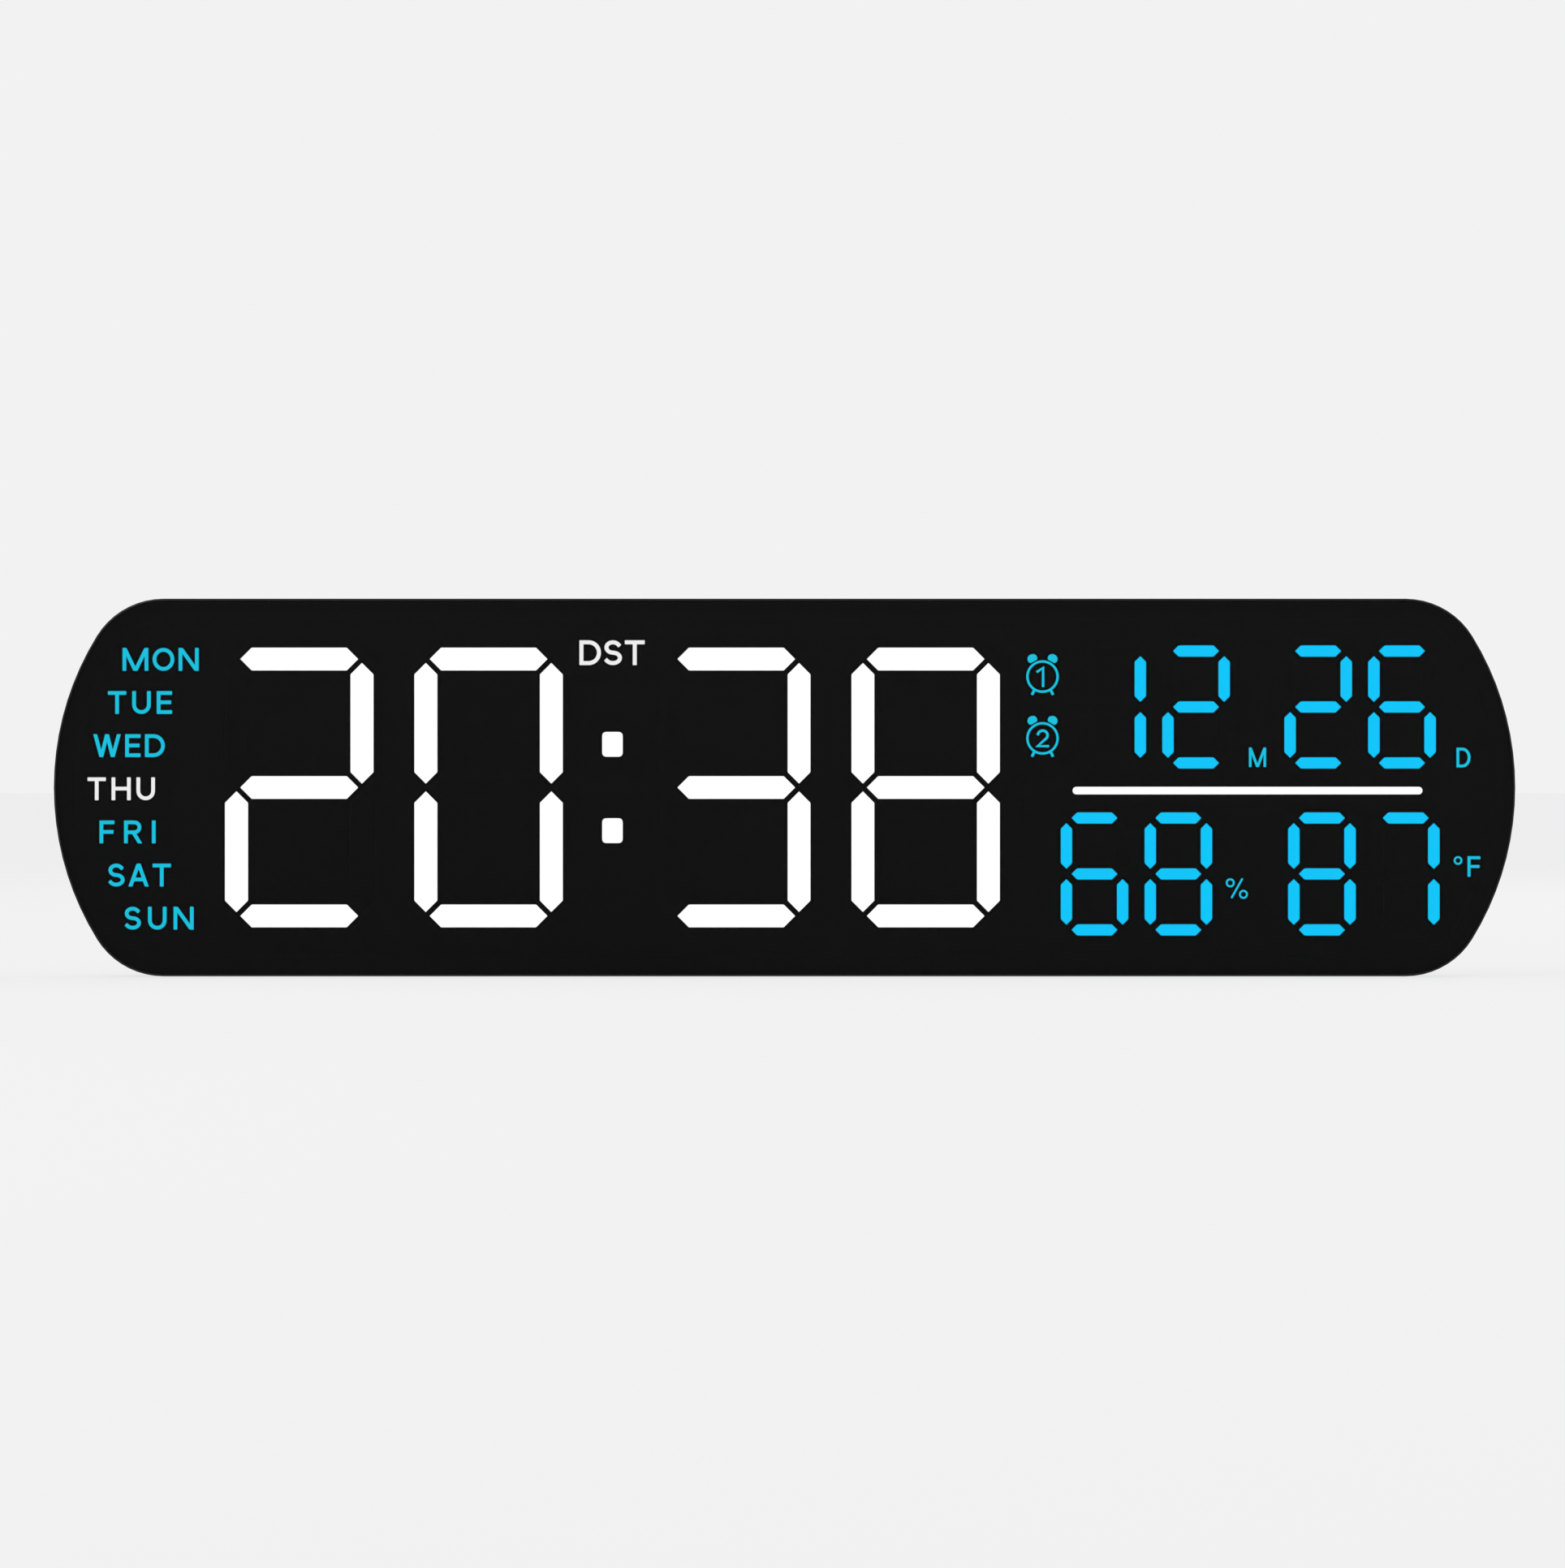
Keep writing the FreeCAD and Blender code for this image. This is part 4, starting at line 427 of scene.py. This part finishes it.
def paint_panel():
    """The panel's flat faces are see-through.  All that turns away from them is its dark edge."""
    paint(["front_lens"], smoked_panel(), panel_edge())
    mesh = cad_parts["front_lens"].data
    turned = np.abs(face_values(mesh, "normal")[:, 1]) < FLAT_ENOUGH
    mesh.polygons.foreach_set("material_index", turned.astype(np.int32))
    mesh.update()


def near_bar(points, start, end):
    """Distance of each point to the line from start to end."""
    start = np.array(start, float)
    along = np.array(end, float) - start
    share = np.clip((points - start) @ along / (along @ along), 0.0, 1.0)
    return np.linalg.norm(points - start - share[:, None] * along, axis=1)


def light_digit(node, figure, dark, lit):
    """Gives the faces of the figure's bars the lit material.  A face belongs to the bar whose
    middle line is nearest, which is also where the bars' mitres meet."""
    paint([node], dark, lit)
    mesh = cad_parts[node].data
    low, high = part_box(node)
    centres = face_values(mesh, "center")
    stroke = BAR_SHARE * (high.z - low.z)
    half_x = (high.x - low.x - stroke) / 2
    half_z = (high.z - low.z - stroke) / 2
    points = np.column_stack([centres[:, 0] - (low.x + high.x) / 2,
                              centres[:, 2] - (low.z + high.z) / 2])
    reach = np.array([half_x, half_z])
    gaps = np.array([near_bar(points, reach * start, reach * end) for start, end in BARS.values()])
    shines = np.array([bar in FIGURES[figure] for bar in BARS])
    mesh.polygons.foreach_set("material_index", shines[gaps.argmin(axis=0)].astype(np.int32))
    mesh.update()


# ---------------------------------------------------------------- printed strokes

def unit_rows(vectors):
    """Each row divided by its own length."""
    return vectors / np.linalg.norm(vectors, axis=1)[:, None]


def stroke_edges(path, width):
    """Both edges of a stroke along a path.  At each point the edge lies along the bisector of the
    two sides' normals, half the width over the cosine of half the turn away, and no more than a
    full width.  A path that ends where it starts is closed."""
    closed = np.allclose(path[0], path[-1])
    if closed:
        path = path[:-1]
        before = path - np.roll(path, 1, axis=0)
        after = np.roll(path, -1, axis=0) - path
    else:
        steps = np.diff(path, axis=0)
        before = np.vstack([steps[:1], steps])
        after = np.vstack([steps, steps[-1:]])
    quarter = np.array([[0.0, 1.0], [-1.0, 0.0]])
    first = unit_rows(before) @ quarter
    second = unit_rows(after) @ quarter
    middle = unit_rows(first + second)
    cosine = np.maximum((middle * first).sum(axis=1), 0.5)
    offset = middle * (width / 2 / cosine)[:, None]
    return path + offset, path - offset, closed


def band_shell(left, right, closed, front, back):
    """A closed bar between two edges with as many points each: four corners at each place, two on
    the front and two on the back, joined by quads."""
    count = len(left)
    ring = np.empty((count, 4, 3))
    corners = ((left, front), (right, front), (right, back), (left, back))
    for corner, (edge, depth) in enumerate(corners):
        ring[:, corner, 0] = edge[:, 0]
        ring[:, corner, 1] = depth
        ring[:, corner, 2] = edge[:, 1]
    here = np.arange(count if closed else count - 1)
    there = (here + 1) % count
    corner = np.arange(4)
    beside = (corner + 1) % 4
    quads = np.stack([4 * here[:, None] + corner, 4 * here[:, None] + beside,
                      4 * there[:, None] + beside, 4 * there[:, None] + corner], axis=2)
    faces = quads.reshape(-1, 4).tolist()
    if not closed:
        faces.append([3, 2, 1, 0])
        faces.append([4 * count - 4, 4 * count - 3, 4 * count - 2, 4 * count - 1])
    return ring.reshape(-1, 3), faces


def stroke_shell(path, width, floor, ceiling, front, back):
    """A closed bar along the path.  An open path runs on by half the width at both ends.  Points
    past the top or foot of the letter are cut level with it."""
    path = np.array(path, float)
    if not np.allclose(path[0], path[-1]):
        ends = unit_rows(np.array([path[0] - path[1], path[-1] - path[-2]]))
        path[[0, -1]] += ends * width / 2
    left, right, closed = stroke_edges(path, width)
    left[:, 1] = np.clip(left[:, 1], floor, ceiling)
    right[:, 1] = np.clip(right[:, 1], floor, ceiling)
    return band_shell(left, right, closed, front, back)


def plate_shell(outline, front, back):
    """A closed plate: the outline on the front and on the back, with a quad along each side."""
    outline = np.asarray(outline, float)
    count = len(outline)
    corners = np.empty((2 * count, 3))
    corners[:, 0] = np.tile(outline[:, 0], 2)
    corners[:, 2] = np.tile(outline[:, 1], 2)
    corners[:count, 1] = front
    corners[count:, 1] = back
    here = np.arange(count)
    there = (here + 1) % count
    sides = np.stack([here, there, there + count, here + count], axis=1).tolist()
    return corners, [here.tolist(), (here[::-1] + count).tolist()] + sides


def slant_shell(start, end, width, front, back):
    """A slanted stroke with level ends: its width along X is its own width over the sine of its
    slope."""
    half = width / 2 * math.dist(start, end) / abs(end[1] - start[1])
    outline = [(start[0] - half, start[1]), (start[0] + half, start[1]),
               (end[0] + half, end[1]), (end[0] - half, end[1])]
    return plate_shell(outline, front, back)


def printed_piece(name, shells, material, body=HOUSING):
    """One object from closed shells, on its body, with its faces turned outwards."""
    corners = []
    faces = []
    used = 0
    for shell_corners, shell_faces in shells:
        corners.append(shell_corners)
        faces += [[used + corner for corner in face] for face in shell_faces]
        used += len(shell_corners)
    mesh = bpy.data.meshes.new(name)
    mesh.from_pydata(np.vstack(corners).tolist(), [], faces)
    shape = bmesh.new()
    shape.from_mesh(mesh)
    bmesh.ops.recalc_face_normals(shape, faces=shape.faces)
    shape.to_mesh(mesh)
    shape.free()
    mesh.materials.append(material)
    piece = bpy.data.objects.new(name, mesh)
    bpy.context.scene.collection.objects.link(piece)
    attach(piece, body)
    return piece


def curve(middle_x, middle_z, radius_x, radius_z, start, end, points=18):
    """Points of an ellipse's arc: its middle plus each radius times the cosine or sine of an angle
    that runs evenly from start to end, in degrees."""
    angle = np.radians(np.linspace(start, end, points))
    return np.column_stack([middle_x + radius_x * np.cos(angle),
                            middle_z + radius_z * np.sin(angle)])


def run(*pieces):
    """One path from points and arcs laid end to end."""
    return np.vstack([np.atleast_2d(piece) for piece in pieces])


def panel_outline(inset):
    """A loop parallel to the panel's outline.  Each half is a corner arc, the bowed end and a
    corner arc, tangent where they meet, and inset shortens their radii."""
    end_x = (PANEL_HIGH.x - PANEL_LOW.x) / 2 - END_RADIUS * MM
    corner_z = (PANEL_HIGH.z - PANEL_LOW.z) / 2 - CORNER_RADIUS * MM
    corner_x = end_x + math.sqrt(((END_RADIUS - CORNER_RADIUS) * MM) ** 2 - corner_z ** 2)
    join = math.degrees(math.atan2(corner_z, corner_x - end_x))
    large = (END_RADIUS - inset) * MM
    small = (CORNER_RADIUS - inset) * MM
    half = run(curve(corner_x, -corner_z, small, small, -90, -join),
               curve(end_x, 0.0, large, large, -join, join, 61)[1:-1],
               curve(corner_x, corner_z, small, small, join, 90))
    return np.vstack([half, half[::-1] * (-1, 1)]) + np.array(FACE_MIDDLE)


# Each letter's width as a share of its height, and its strokes' middle lines on a unit square.  A
# slanted stroke of two points has level ends, and reaches the top or foot that it points at.
LETTERS = {
    "A": (0.88, [run((0, 0), (0.5, 1)), run((0.5, 1), (1, 0)), run((0.25, 0.27), (0.75, 0.27))]),
    "D": (0.87, [run((0, 0), (0, 1), curve(0.42, 0.5, 0.58, 0.5, 90, -90), (0, 0))]),
    "E": (0.67, [run((1, 1), (0, 1), (0, 0), (1, 0)), run((0, 0.51), (0.92, 0.51))]),
    "F": (0.65, [run((1, 1), (0, 1), (0, 0)), run((0, 0.5), (0.92, 0.5))]),
    "H": (0.84, [run((0, 0), (0, 1)), run((1, 0), (1, 1)), run((0, 0.51), (1, 0.51))]),
    "I": (0.19, [run((0.5, 0), (0.5, 1))]),
    "M": (1.13, [run((0, 0), (0, 1)), run((0, 1), (0.5, 0)), run((0.5, 0), (1, 1)),
                 run((1, 1), (1, 0))]),
    "N": (0.88, [run((0, 0), (0, 1)), run((0, 1), (1, 0)), run((1, 0), (1, 1))]),
    "O": (0.95, [curve(0.5, 0.5, 0.5, 0.5, 0, 360, 33)]),
    "R": (0.78, [run((0, 0), (0, 1), curve(0.6, 0.74, 0.36, 0.26, 90, -90), (0, 0.48)),
                 run((0.55, 0.45), (1, 0))]),
    "S": (0.73, [run(curve(0.5, 0.75, 0.46, 0.25, 32, 270),
                     curve(0.5, 0.25, 0.5, 0.25, 90, -148)[1:])]),
    "T": (0.80, [run((0, 1), (1, 1)), run((0.5, 0), (0.5, 1))]),
    "U": (0.81, [run((0, 1), (0, 0.4), curve(0.5, 0.38, 0.5, 0.38, 180, 360), (1, 0.4), (1, 1))]),
    "W": (1.20, [run((0, 1), (0.26, 0)), run((0.26, 0), (0.5, 1)), run((0.5, 1), (0.74, 0)),
                 run((0.74, 0), (1, 1))]),
    "1": (0.38, [run((0, 0.78), (1, 1), (1, 0))]),
    "2": (0.70, [run(curve(0.5, 0.7, 0.48, 0.3, 165, -35), (0, 0), (1, 0))]),
}


def ink_depths():
    """Front and back of the print, just proud of the film's front."""
    return FILM_FRONT - INK_RISE * MM, FILM_FRONT + INK_SUNK * MM


def word_shells(text, left, middle_z, cap, stroke, space=0.0, narrow=1.0):
    """The letters of a word, their widths times narrow.  left is in mm from the middle of the face,
    middle_z above the foot."""
    front, back = ink_depths()
    floor = (middle_z - cap / 2) * MM
    ceiling = (middle_z + cap / 2) * MM
    shells = []
    for letter in text:
        share, paths = LETTERS[letter]
        width = max(share * narrow * cap, stroke)
        scale = np.array([max(width - stroke, 0.0), cap - stroke]) * MM
        corner = np.array([FACE_MIDDLE[0] + (left + stroke / 2) * MM, floor + stroke / 2 * MM])
        if width <= stroke:
            corner[0] -= stroke / 2 * MM
            scale[0] = stroke * MM
        for path in paths:
            middle = corner + path * scale
            if len(path) == 2 and (path[0] != path[1]).all():
                middle[path[:, 1] == 0, 1] = floor
                middle[path[:, 1] == 1, 1] = ceiling
                shells.append(slant_shell(*middle, stroke * MM, front, back))
            else:
                shells.append(stroke_shell(middle, stroke * MM, floor, ceiling, front, back))
        left += width + space
    return shells


def ring_shell(x, z, radius, stroke):
    """A ring with its middle at x and z, in mm."""
    front, back = ink_depths()
    path = curve(FACE_MIDDLE[0] + x * MM, z * MM, radius * MM, radius * MM, 0, 360, 37)
    return stroke_shell(path, stroke * MM, NO_FLOOR, NO_CEILING, front, back)


def dash_shell(start, end, stroke):
    """A short straight stroke with square ends round two places, in mm."""
    front, back = ink_depths()
    path = np.array([start, end], float) * MM + np.array([FACE_MIDDLE[0], 0.0])
    return stroke_shell(path, stroke * MM, NO_FLOOR, NO_CEILING, front, back)


def bell_shell(x, z, width, tall, tilt):
    """A bell: an ellipse cut straight near its foot, tilted about its middle, in mm and degrees."""
    front, back = ink_depths()
    dome = curve(0.0, 0.0, width / 2, tall / 2, -45, 225, 25)
    turn = math.radians(tilt)
    spin = np.array([[math.cos(turn), math.sin(turn)], [-math.sin(turn), math.cos(turn)]])
    outline = (dome @ spin + np.array([x, z])) * MM + np.array([FACE_MIDDLE[0], 0.0])
    return plate_shell(outline, front, back)


def sign_shells(marks):
    """The closed shells of a sign: its words, rings and dashes in order."""
    shells = []
    for kind, *sizes in marks:
        if kind == "word":
            shells += word_shells(*sizes)
        elif kind == "ring":
            shells.append(ring_shell(*sizes))
        else:
            shells.append(dash_shell(*sizes))
    return shells


def alarm_shells(x, z, number, cap):
    """An alarm clock: a ring, two bells above it, two feet below it and a number inside."""
    bell_x, bell_z, width, tall, tilt = ALARM_BELL
    (hip_x, hip_z), (toe_x, toe_z), foot_stroke = ALARM_FOOT
    left, number_stroke = ALARM_NUMBER
    shells = [ring_shell(x, z, *ALARM_RING)]
    for side in (-1, 1):
        hip = (x + side * hip_x, z + hip_z)
        toe = (x + side * toe_x, z + toe_z)
        shells.append(bell_shell(x + side * bell_x, z + bell_z, width, tall, side * tilt))
        shells.append(dash_shell(hip, toe, foot_stroke))
    return shells + word_shells(number, x + left, z, cap, number_stroke)


# ---------------------------------------------------------------- marks on the back

def back_strokes(paths, x, z, face, stroke):
    """Strokes on a face that looks out of the back, their paths in mm about x and z."""
    middle = np.array([x, z])
    return [stroke_shell(middle + np.asarray(path, float) * MM, stroke * MM, NO_FLOOR, NO_CEILING,
                         face - INK_SUNK * MM, face + INK_RISE * MM) for path in paths]


def rays(inner, outer, count):
    """Short lines from one circle to the next, evenly round the middle."""
    angle = np.arange(count) * 2 * np.pi / count
    way = np.column_stack([np.cos(angle), np.sin(angle)])
    return list(np.stack([inner * way, outer * way], axis=1))


# Signs on the keys as lines in mm: a ring, a bell, two arrowheads and a sun.
KEY_SIGNS = {
    "mode": [curve(0.0, 0.0, 1.1, 1.1, 0, 360, 25)],
    "alarm": [run((-1.3, -0.8), curve(0.0, 0.1, 0.95, 1.1, 180, 0), (1.3, -0.8), (-1.3, -0.8)),
              run((-0.2, -1.35), (0.2, -1.35))],
    "up": [run((-1.2, -0.6), (0.0, 0.7), (1.2, -0.6))],
    "down": [run((-1.2, 0.6), (0.0, -0.7), (1.2, 0.6))],
    "brightness": [curve(0.0, 0.0, 0.6, 0.6, 0, 360, 17), *rays(1.15, 1.55, 8)],
}


# ---------------------------------------------------------------- operators

class CLOCK_OT_panel(bpy.types.Operator):
    """Finishes the smoked panel, the border printed on its back, its tape and the black film"""
    bl_idname = "clock.panel"
    bl_label = "Front panel"

    def execute(self, context):
        paint_panel()
        outer, inner = (panel_outline(inset) for inset in BORDER_INSET)
        border = band_shell(outer, inner, True,
                            PANEL_HIGH.y - INK_SUNK * MM, PANEL_HIGH.y + INK_SUNK * MM)
        printed_piece("panel_border", [border], finish("border_ink"))
        paint(["lens_tape"], finish("foam_tape"))
        paint(["mask_film"], finish("matt_film"))
        return {"FINISHED"}


class CLOCK_OT_digits(bpy.types.Operator):
    """Lights the bars of every digit, the colon and the dividing bar"""
    bl_idname = "clock.digits"
    bl_label = "Digits"

    def execute(self, context):
        shown = display()
        pairs = (("hour", shown.hours, white_glow), ("minute", shown.minutes, white_glow),
                 ("month", shown.month, blue_glow), ("day", shown.day, blue_glow),
                 ("humidity", shown.humidity, blue_glow),
                 ("temperature", shown.temperature, blue_glow))
        dark = finish("dark_resin")
        for name, number, glow in pairs:
            light_digit(f"{name}_tens_bars", number // 10, dark, glow())
            light_digit(f"{name}_units_bars", number % 10, dark, glow())
        paint(["colon_dots", "divider_bar"], white_glow())
        paint(["weekday_windows", "indicator_windows", "unit_windows"], dark)
        return {"FINISHED"}


class CLOCK_OT_weekdays(bpy.types.Operator):
    """Prints the seven weekdays and lights today's in white"""
    bl_idname = "clock.weekdays"
    bl_label = "Weekdays"

    def execute(self, context):
        for row, (word, (left, space)) in enumerate(WEEKDAYS.items()):
            middle_z = WORD_MIDDLE + (3 - row) * WORD_PITCH
            today = word == display().weekday
            shells = word_shells(word, left, middle_z, WORD_CAP, WORD_STROKE, space)
            printed_piece(f"word_{word}", shells, word_glow() if today else sign_glow())
        return {"FINISHED"}


class CLOCK_OT_signs(bpy.types.Operator):
    """Prints DST over the colon and the signs beside the small digits"""
    bl_idname = "clock.signs"
    bl_label = "Signs"

    def execute(self, context):
        printed_piece("word_DST", word_shells(*SUMMER_TIME), word_glow())
        for name, marks in SIGNS.items():
            printed_piece(name, sign_shells(marks), sign_glow())
        return {"FINISHED"}


class CLOCK_OT_alarms(bpy.types.Operator):
    """Prints the two alarm signs"""
    bl_idname = "clock.alarms"
    bl_label = "Alarm signs"

    def execute(self, context):
        for number, (middle_z, cap) in ALARMS.items():
            shells = alarm_shells(ALARM_ACROSS, middle_z, number, cap)
            printed_piece(f"sign_alarm_{number}", shells, sign_glow())
        return {"FINISHED"}


class CLOCK_OT_case(bpy.types.Operator):
    """Finishes the case, its feet, battery cap and screws"""
    bl_idname = "clock.case"
    bl_label = "Case"

    def execute(self, context):
        paint(["front_frame", "rear_cover", "left_foot", "right_foot", "battery_cap"],
              case_plastic())
        paint(["left_foot_pad", "right_foot_pad"], finish("soft_rubber"))
        paint(["case_screws", "foot_pins"], finish("zinc_steel"))
        return {"FINISHED"}


class CLOCK_OT_recesses(bpy.types.Operator):
    """Paints dark strokes as the shade inside the cross recess in the head of each case screw"""
    bl_idname = "clock.recesses"
    bl_label = "Screw recesses"

    def execute(self, context):
        low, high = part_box("case_screws")
        head = SCREW_HEAD * MM
        inner = INNER_SCREW * MM
        cross = [run((-RECESS_REACH, 0), (RECESS_REACH, 0)),
                 run((0, -RECESS_REACH), (0, RECESS_REACH))]
        shells = []
        for x in (low.x + head, FACE_MIDDLE[0] - inner, FACE_MIDDLE[0] + inner, high.x - head):
            for z in (low.z + head, high.z - head):
                shells += back_strokes(cross, x, z, high.y, RECESS_STROKE)
        # Painted shade: dark strokes where the shade inside each screw's cross recess falls.
        printed_piece("screw_recess_shade", shells, finish("recess_shade"))
        return {"FINISHED"}


class CLOCK_OT_key_signs(bpy.types.Operator):
    """Prints a plain sign on each key"""
    bl_idname = "clock.key_signs"
    bl_label = "Key signs"

    def execute(self, context):
        for name, paths in KEY_SIGNS.items():
            key = f"{name}_key"
            low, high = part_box(key)
            shells = back_strokes(paths, (low.x + high.x) / 2, (low.z + high.z) / 2, high.y,
                                  KEY_STROKE)
            printed_piece(f"sign_{key}", shells, finish("pale_print"), key)
        return {"FINISHED"}


class CLOCK_OT_keys(bpy.types.Operator):
    """Finishes the five keys, their stems and switches"""
    bl_idname = "clock.keys"
    bl_label = "Keys"

    def execute(self, context):
        keys = [f"{name}_key" for name in KEY_SIGNS]
        paint(keys, key_plastic())
        paint([f"{key}_stem" for key in keys], finish("pale_stem"))
        paint(["key_switches"], finish("moulding_compound"))
        return {"FINISHED"}


class CLOCK_OT_electronics(bpy.types.Operator):
    """Finishes the light box, the boards and what they carry"""
    bl_idname = "clock.electronics"
    bl_label = "Electronics"

    def execute(self, context):
        paint(["light_box"], finish("cell_block"))
        paint(["led_board", "power_board"], green_laminate())
        paint(["white_chips"], finish("white_phosphor"))
        paint(["blue_chips"], finish("clear_chip"))
        paint(["board_screws"], finish("zinc_steel"))
        paint(["board_standoffs"], finish("turned_brass"))
        paint(["board_header", "controller_chip", "driver_chips", "buzzer", "climate_sensor",
               "cell_holder", "power_inlet_tongue"], finish("moulding_compound"))
        paint(["power_inlet_shell", "clock_crystal", "capacitors", "cell_contact", "coin_cell"],
              finish("nickel_plate"))
        return {"FINISHED"}


def pale_to_camera(tree, plain, shine, share):
    """Mixes a shader with the background's own colour, for the camera, mirrors and glass only."""
    path = tree.nodes.new("ShaderNodeLightPath")
    either = tree.nodes.new("ShaderNodeMath")
    any_of = tree.nodes.new("ShaderNodeMath")
    scaled = tree.nodes.new("ShaderNodeMath")
    mix = tree.nodes.new("ShaderNodeMixShader")
    either.operation = "MAXIMUM"
    any_of.operation = "MAXIMUM"
    scaled.operation = "MULTIPLY"
    scaled.inputs[1].default_value = share
    tree.links.new(path.outputs["Is Camera Ray"], either.inputs[0])
    tree.links.new(path.outputs["Is Glossy Ray"], either.inputs[1])
    tree.links.new(either.outputs["Value"], any_of.inputs[0])
    tree.links.new(path.outputs["Is Transmission Ray"], any_of.inputs[1])
    tree.links.new(any_of.outputs["Value"], scaled.inputs[0])
    tree.links.new(scaled.outputs["Value"], mix.inputs["Fac"])
    tree.links.new(plain, mix.inputs[1])
    tree.links.new(shine, mix.inputs[2])
    return mix.outputs["Shader"]


def studio_world():
    """Even white light from all round, seen as the background's colour."""
    world = bpy.data.worlds.new("studio")
    world.use_nodes = True
    tree = world.node_tree
    soft = tree.nodes["Background"]
    soft.inputs["Color"].default_value = (1.0, 1.0, 1.0, 1.0)
    soft.inputs["Strength"].default_value = WORLD_STRENGTH
    seen = tree.nodes.new("ShaderNodeBackground")
    seen.inputs["Color"].default_value = (*stage().pale, 1.0)
    out = tree.nodes["World Output"]
    mixed = pale_to_camera(tree, soft.outputs["Background"], seen.outputs["Background"], 1.0)
    tree.links.new(mixed, out.inputs["Surface"])
    bpy.context.scene.world = world


def studio_floor():
    """A pale floor.  Its own shading is a small part of what is seen, so a soft shadow stays."""
    corners = np.array([(-1, -1, 0), (1, -1, 0), (1, 1, 0), (-1, 1, 0)], float) * FLOOR_HALF
    mesh = bpy.data.meshes.new("floor")
    mesh.from_pydata(corners.tolist(), [], [(0, 1, 2, 3)])
    material, shader = surface("floor", stage().pale, 0.9, specular=0.0)
    tree = material.node_tree
    glow = tree.nodes.new("ShaderNodeEmission")
    glow.inputs["Color"].default_value = (*stage().pale, 1.0)
    mixed = pale_to_camera(tree, shader.outputs["BSDF"], glow.outputs["Emission"], FLOOR_SHINE)
    tree.links.new(mixed, tree.nodes["Material Output"].inputs["Surface"])
    mesh.materials.append(material)
    floor = bpy.data.objects.new("floor", mesh)
    floor.location.z = -FLOOR_DROP
    bpy.context.scene.collection.objects.link(floor)


def soft_lamp(name, place, target):
    """A square soft lamp at a place, turned to its target."""
    data = bpy.data.lights.new(name, "AREA")
    data.size = LAMP_WIDTH
    data.energy = stage().lamp_power
    lamp = bpy.data.objects.new(name, data)
    lamp.location = place
    away = np.array(target, float) - np.array(place, float)
    lamp.rotation_mode = "QUATERNION"
    lamp.rotation_quaternion = Vector(away.tolist()).to_track_quat("-Z", "Y")
    bpy.context.scene.collection.objects.link(lamp)


def studio_camera():
    """A long lens square on to the face and level with it.  It stands back by the height that the
    picture spans times the lens over the sensor, because the frame is as good as square."""
    data = bpy.data.cameras.new("camera")
    data.lens = stage().focal_length
    data.sensor_width = SENSOR
    data.dof.use_dof = False
    data.clip_end = VIEW_END
    away = stage().view_height * data.lens / data.sensor_width
    camera = bpy.data.objects.new("camera", data)
    camera.location = (FACE_MIDDLE[0] + CAMERA_ASIDE * MM, PANEL_LOW.y - away,
                       FACE_MIDDLE[1] + CAMERA_ABOVE * MM)
    camera.rotation_euler = (math.radians(90.0), 0.0, 0.0)
    bpy.context.scene.collection.objects.link(camera)
    bpy.context.scene.camera = camera


class CLOCK_OT_stage(bpy.types.Operator):
    """Makes the pale floor and world, the soft lamps and the camera"""
    bl_idname = "clock.stage"
    bl_label = "Stage"

    def execute(self, context):
        context.scene.view_settings.view_transform = "Standard"
        studio_world()
        studio_floor()
        for name, place in LAMPS.items():
            soft_lamp(name, place, (FACE_MIDDLE[0], 0.0, FACE_MIDDLE[1]))
        studio_camera()
        return {"FINISHED"}


class CLOCK_PT_panel(bpy.types.Panel):
    """Lists the clock's settings and the steps that finish it"""
    bl_idname = "CLOCK_PT_panel"
    bl_label = "Day Clock"
    bl_space_type = "VIEW_3D"
    bl_region_type = "UI"
    bl_category = "Day Clock"

    def draw(self, context):
        for settings in (display(), case(), stage()):
            box = self.layout.box()
            for prop in settings.bl_rna.properties:
                if prop.identifier not in ("rna_type", "name"):
                    box.prop(settings, prop.identifier)
        for step in STEPS:
            self.layout.operator(step.bl_idname)


GROUPS = (ClockDisplay, ClockCase, ClockStage)
STEPS = (CLOCK_OT_panel, CLOCK_OT_digits, CLOCK_OT_weekdays, CLOCK_OT_signs, CLOCK_OT_alarms,
         CLOCK_OT_case, CLOCK_OT_recesses, CLOCK_OT_keys, CLOCK_OT_key_signs, CLOCK_OT_electronics,
         CLOCK_OT_stage)


def register():
    for item in (*GROUPS, *STEPS, CLOCK_PT_panel):
        bpy.utils.register_class(item)
    bpy.types.Scene.clock_display = bpy.props.PointerProperty(type=ClockDisplay)
    bpy.types.Scene.clock_case = bpy.props.PointerProperty(type=ClockCase)
    bpy.types.Scene.clock_stage = bpy.props.PointerProperty(type=ClockStage)


def unregister():
    del bpy.types.Scene.clock_stage
    del bpy.types.Scene.clock_case
    del bpy.types.Scene.clock_display
    for item in reversed((*GROUPS, *STEPS, CLOCK_PT_panel)):
        bpy.utils.unregister_class(item)


def main():
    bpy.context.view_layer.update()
    register()
    bpy.ops.clock.panel()
    bpy.ops.clock.digits()
    bpy.ops.clock.weekdays()
    bpy.ops.clock.signs()
    bpy.ops.clock.alarms()
    bpy.ops.clock.case()
    bpy.ops.clock.recesses()
    bpy.ops.clock.keys()
    bpy.ops.clock.key_signs()
    bpy.ops.clock.electronics()
    bpy.ops.clock.stage()


if __name__ == "__main__":
    main()
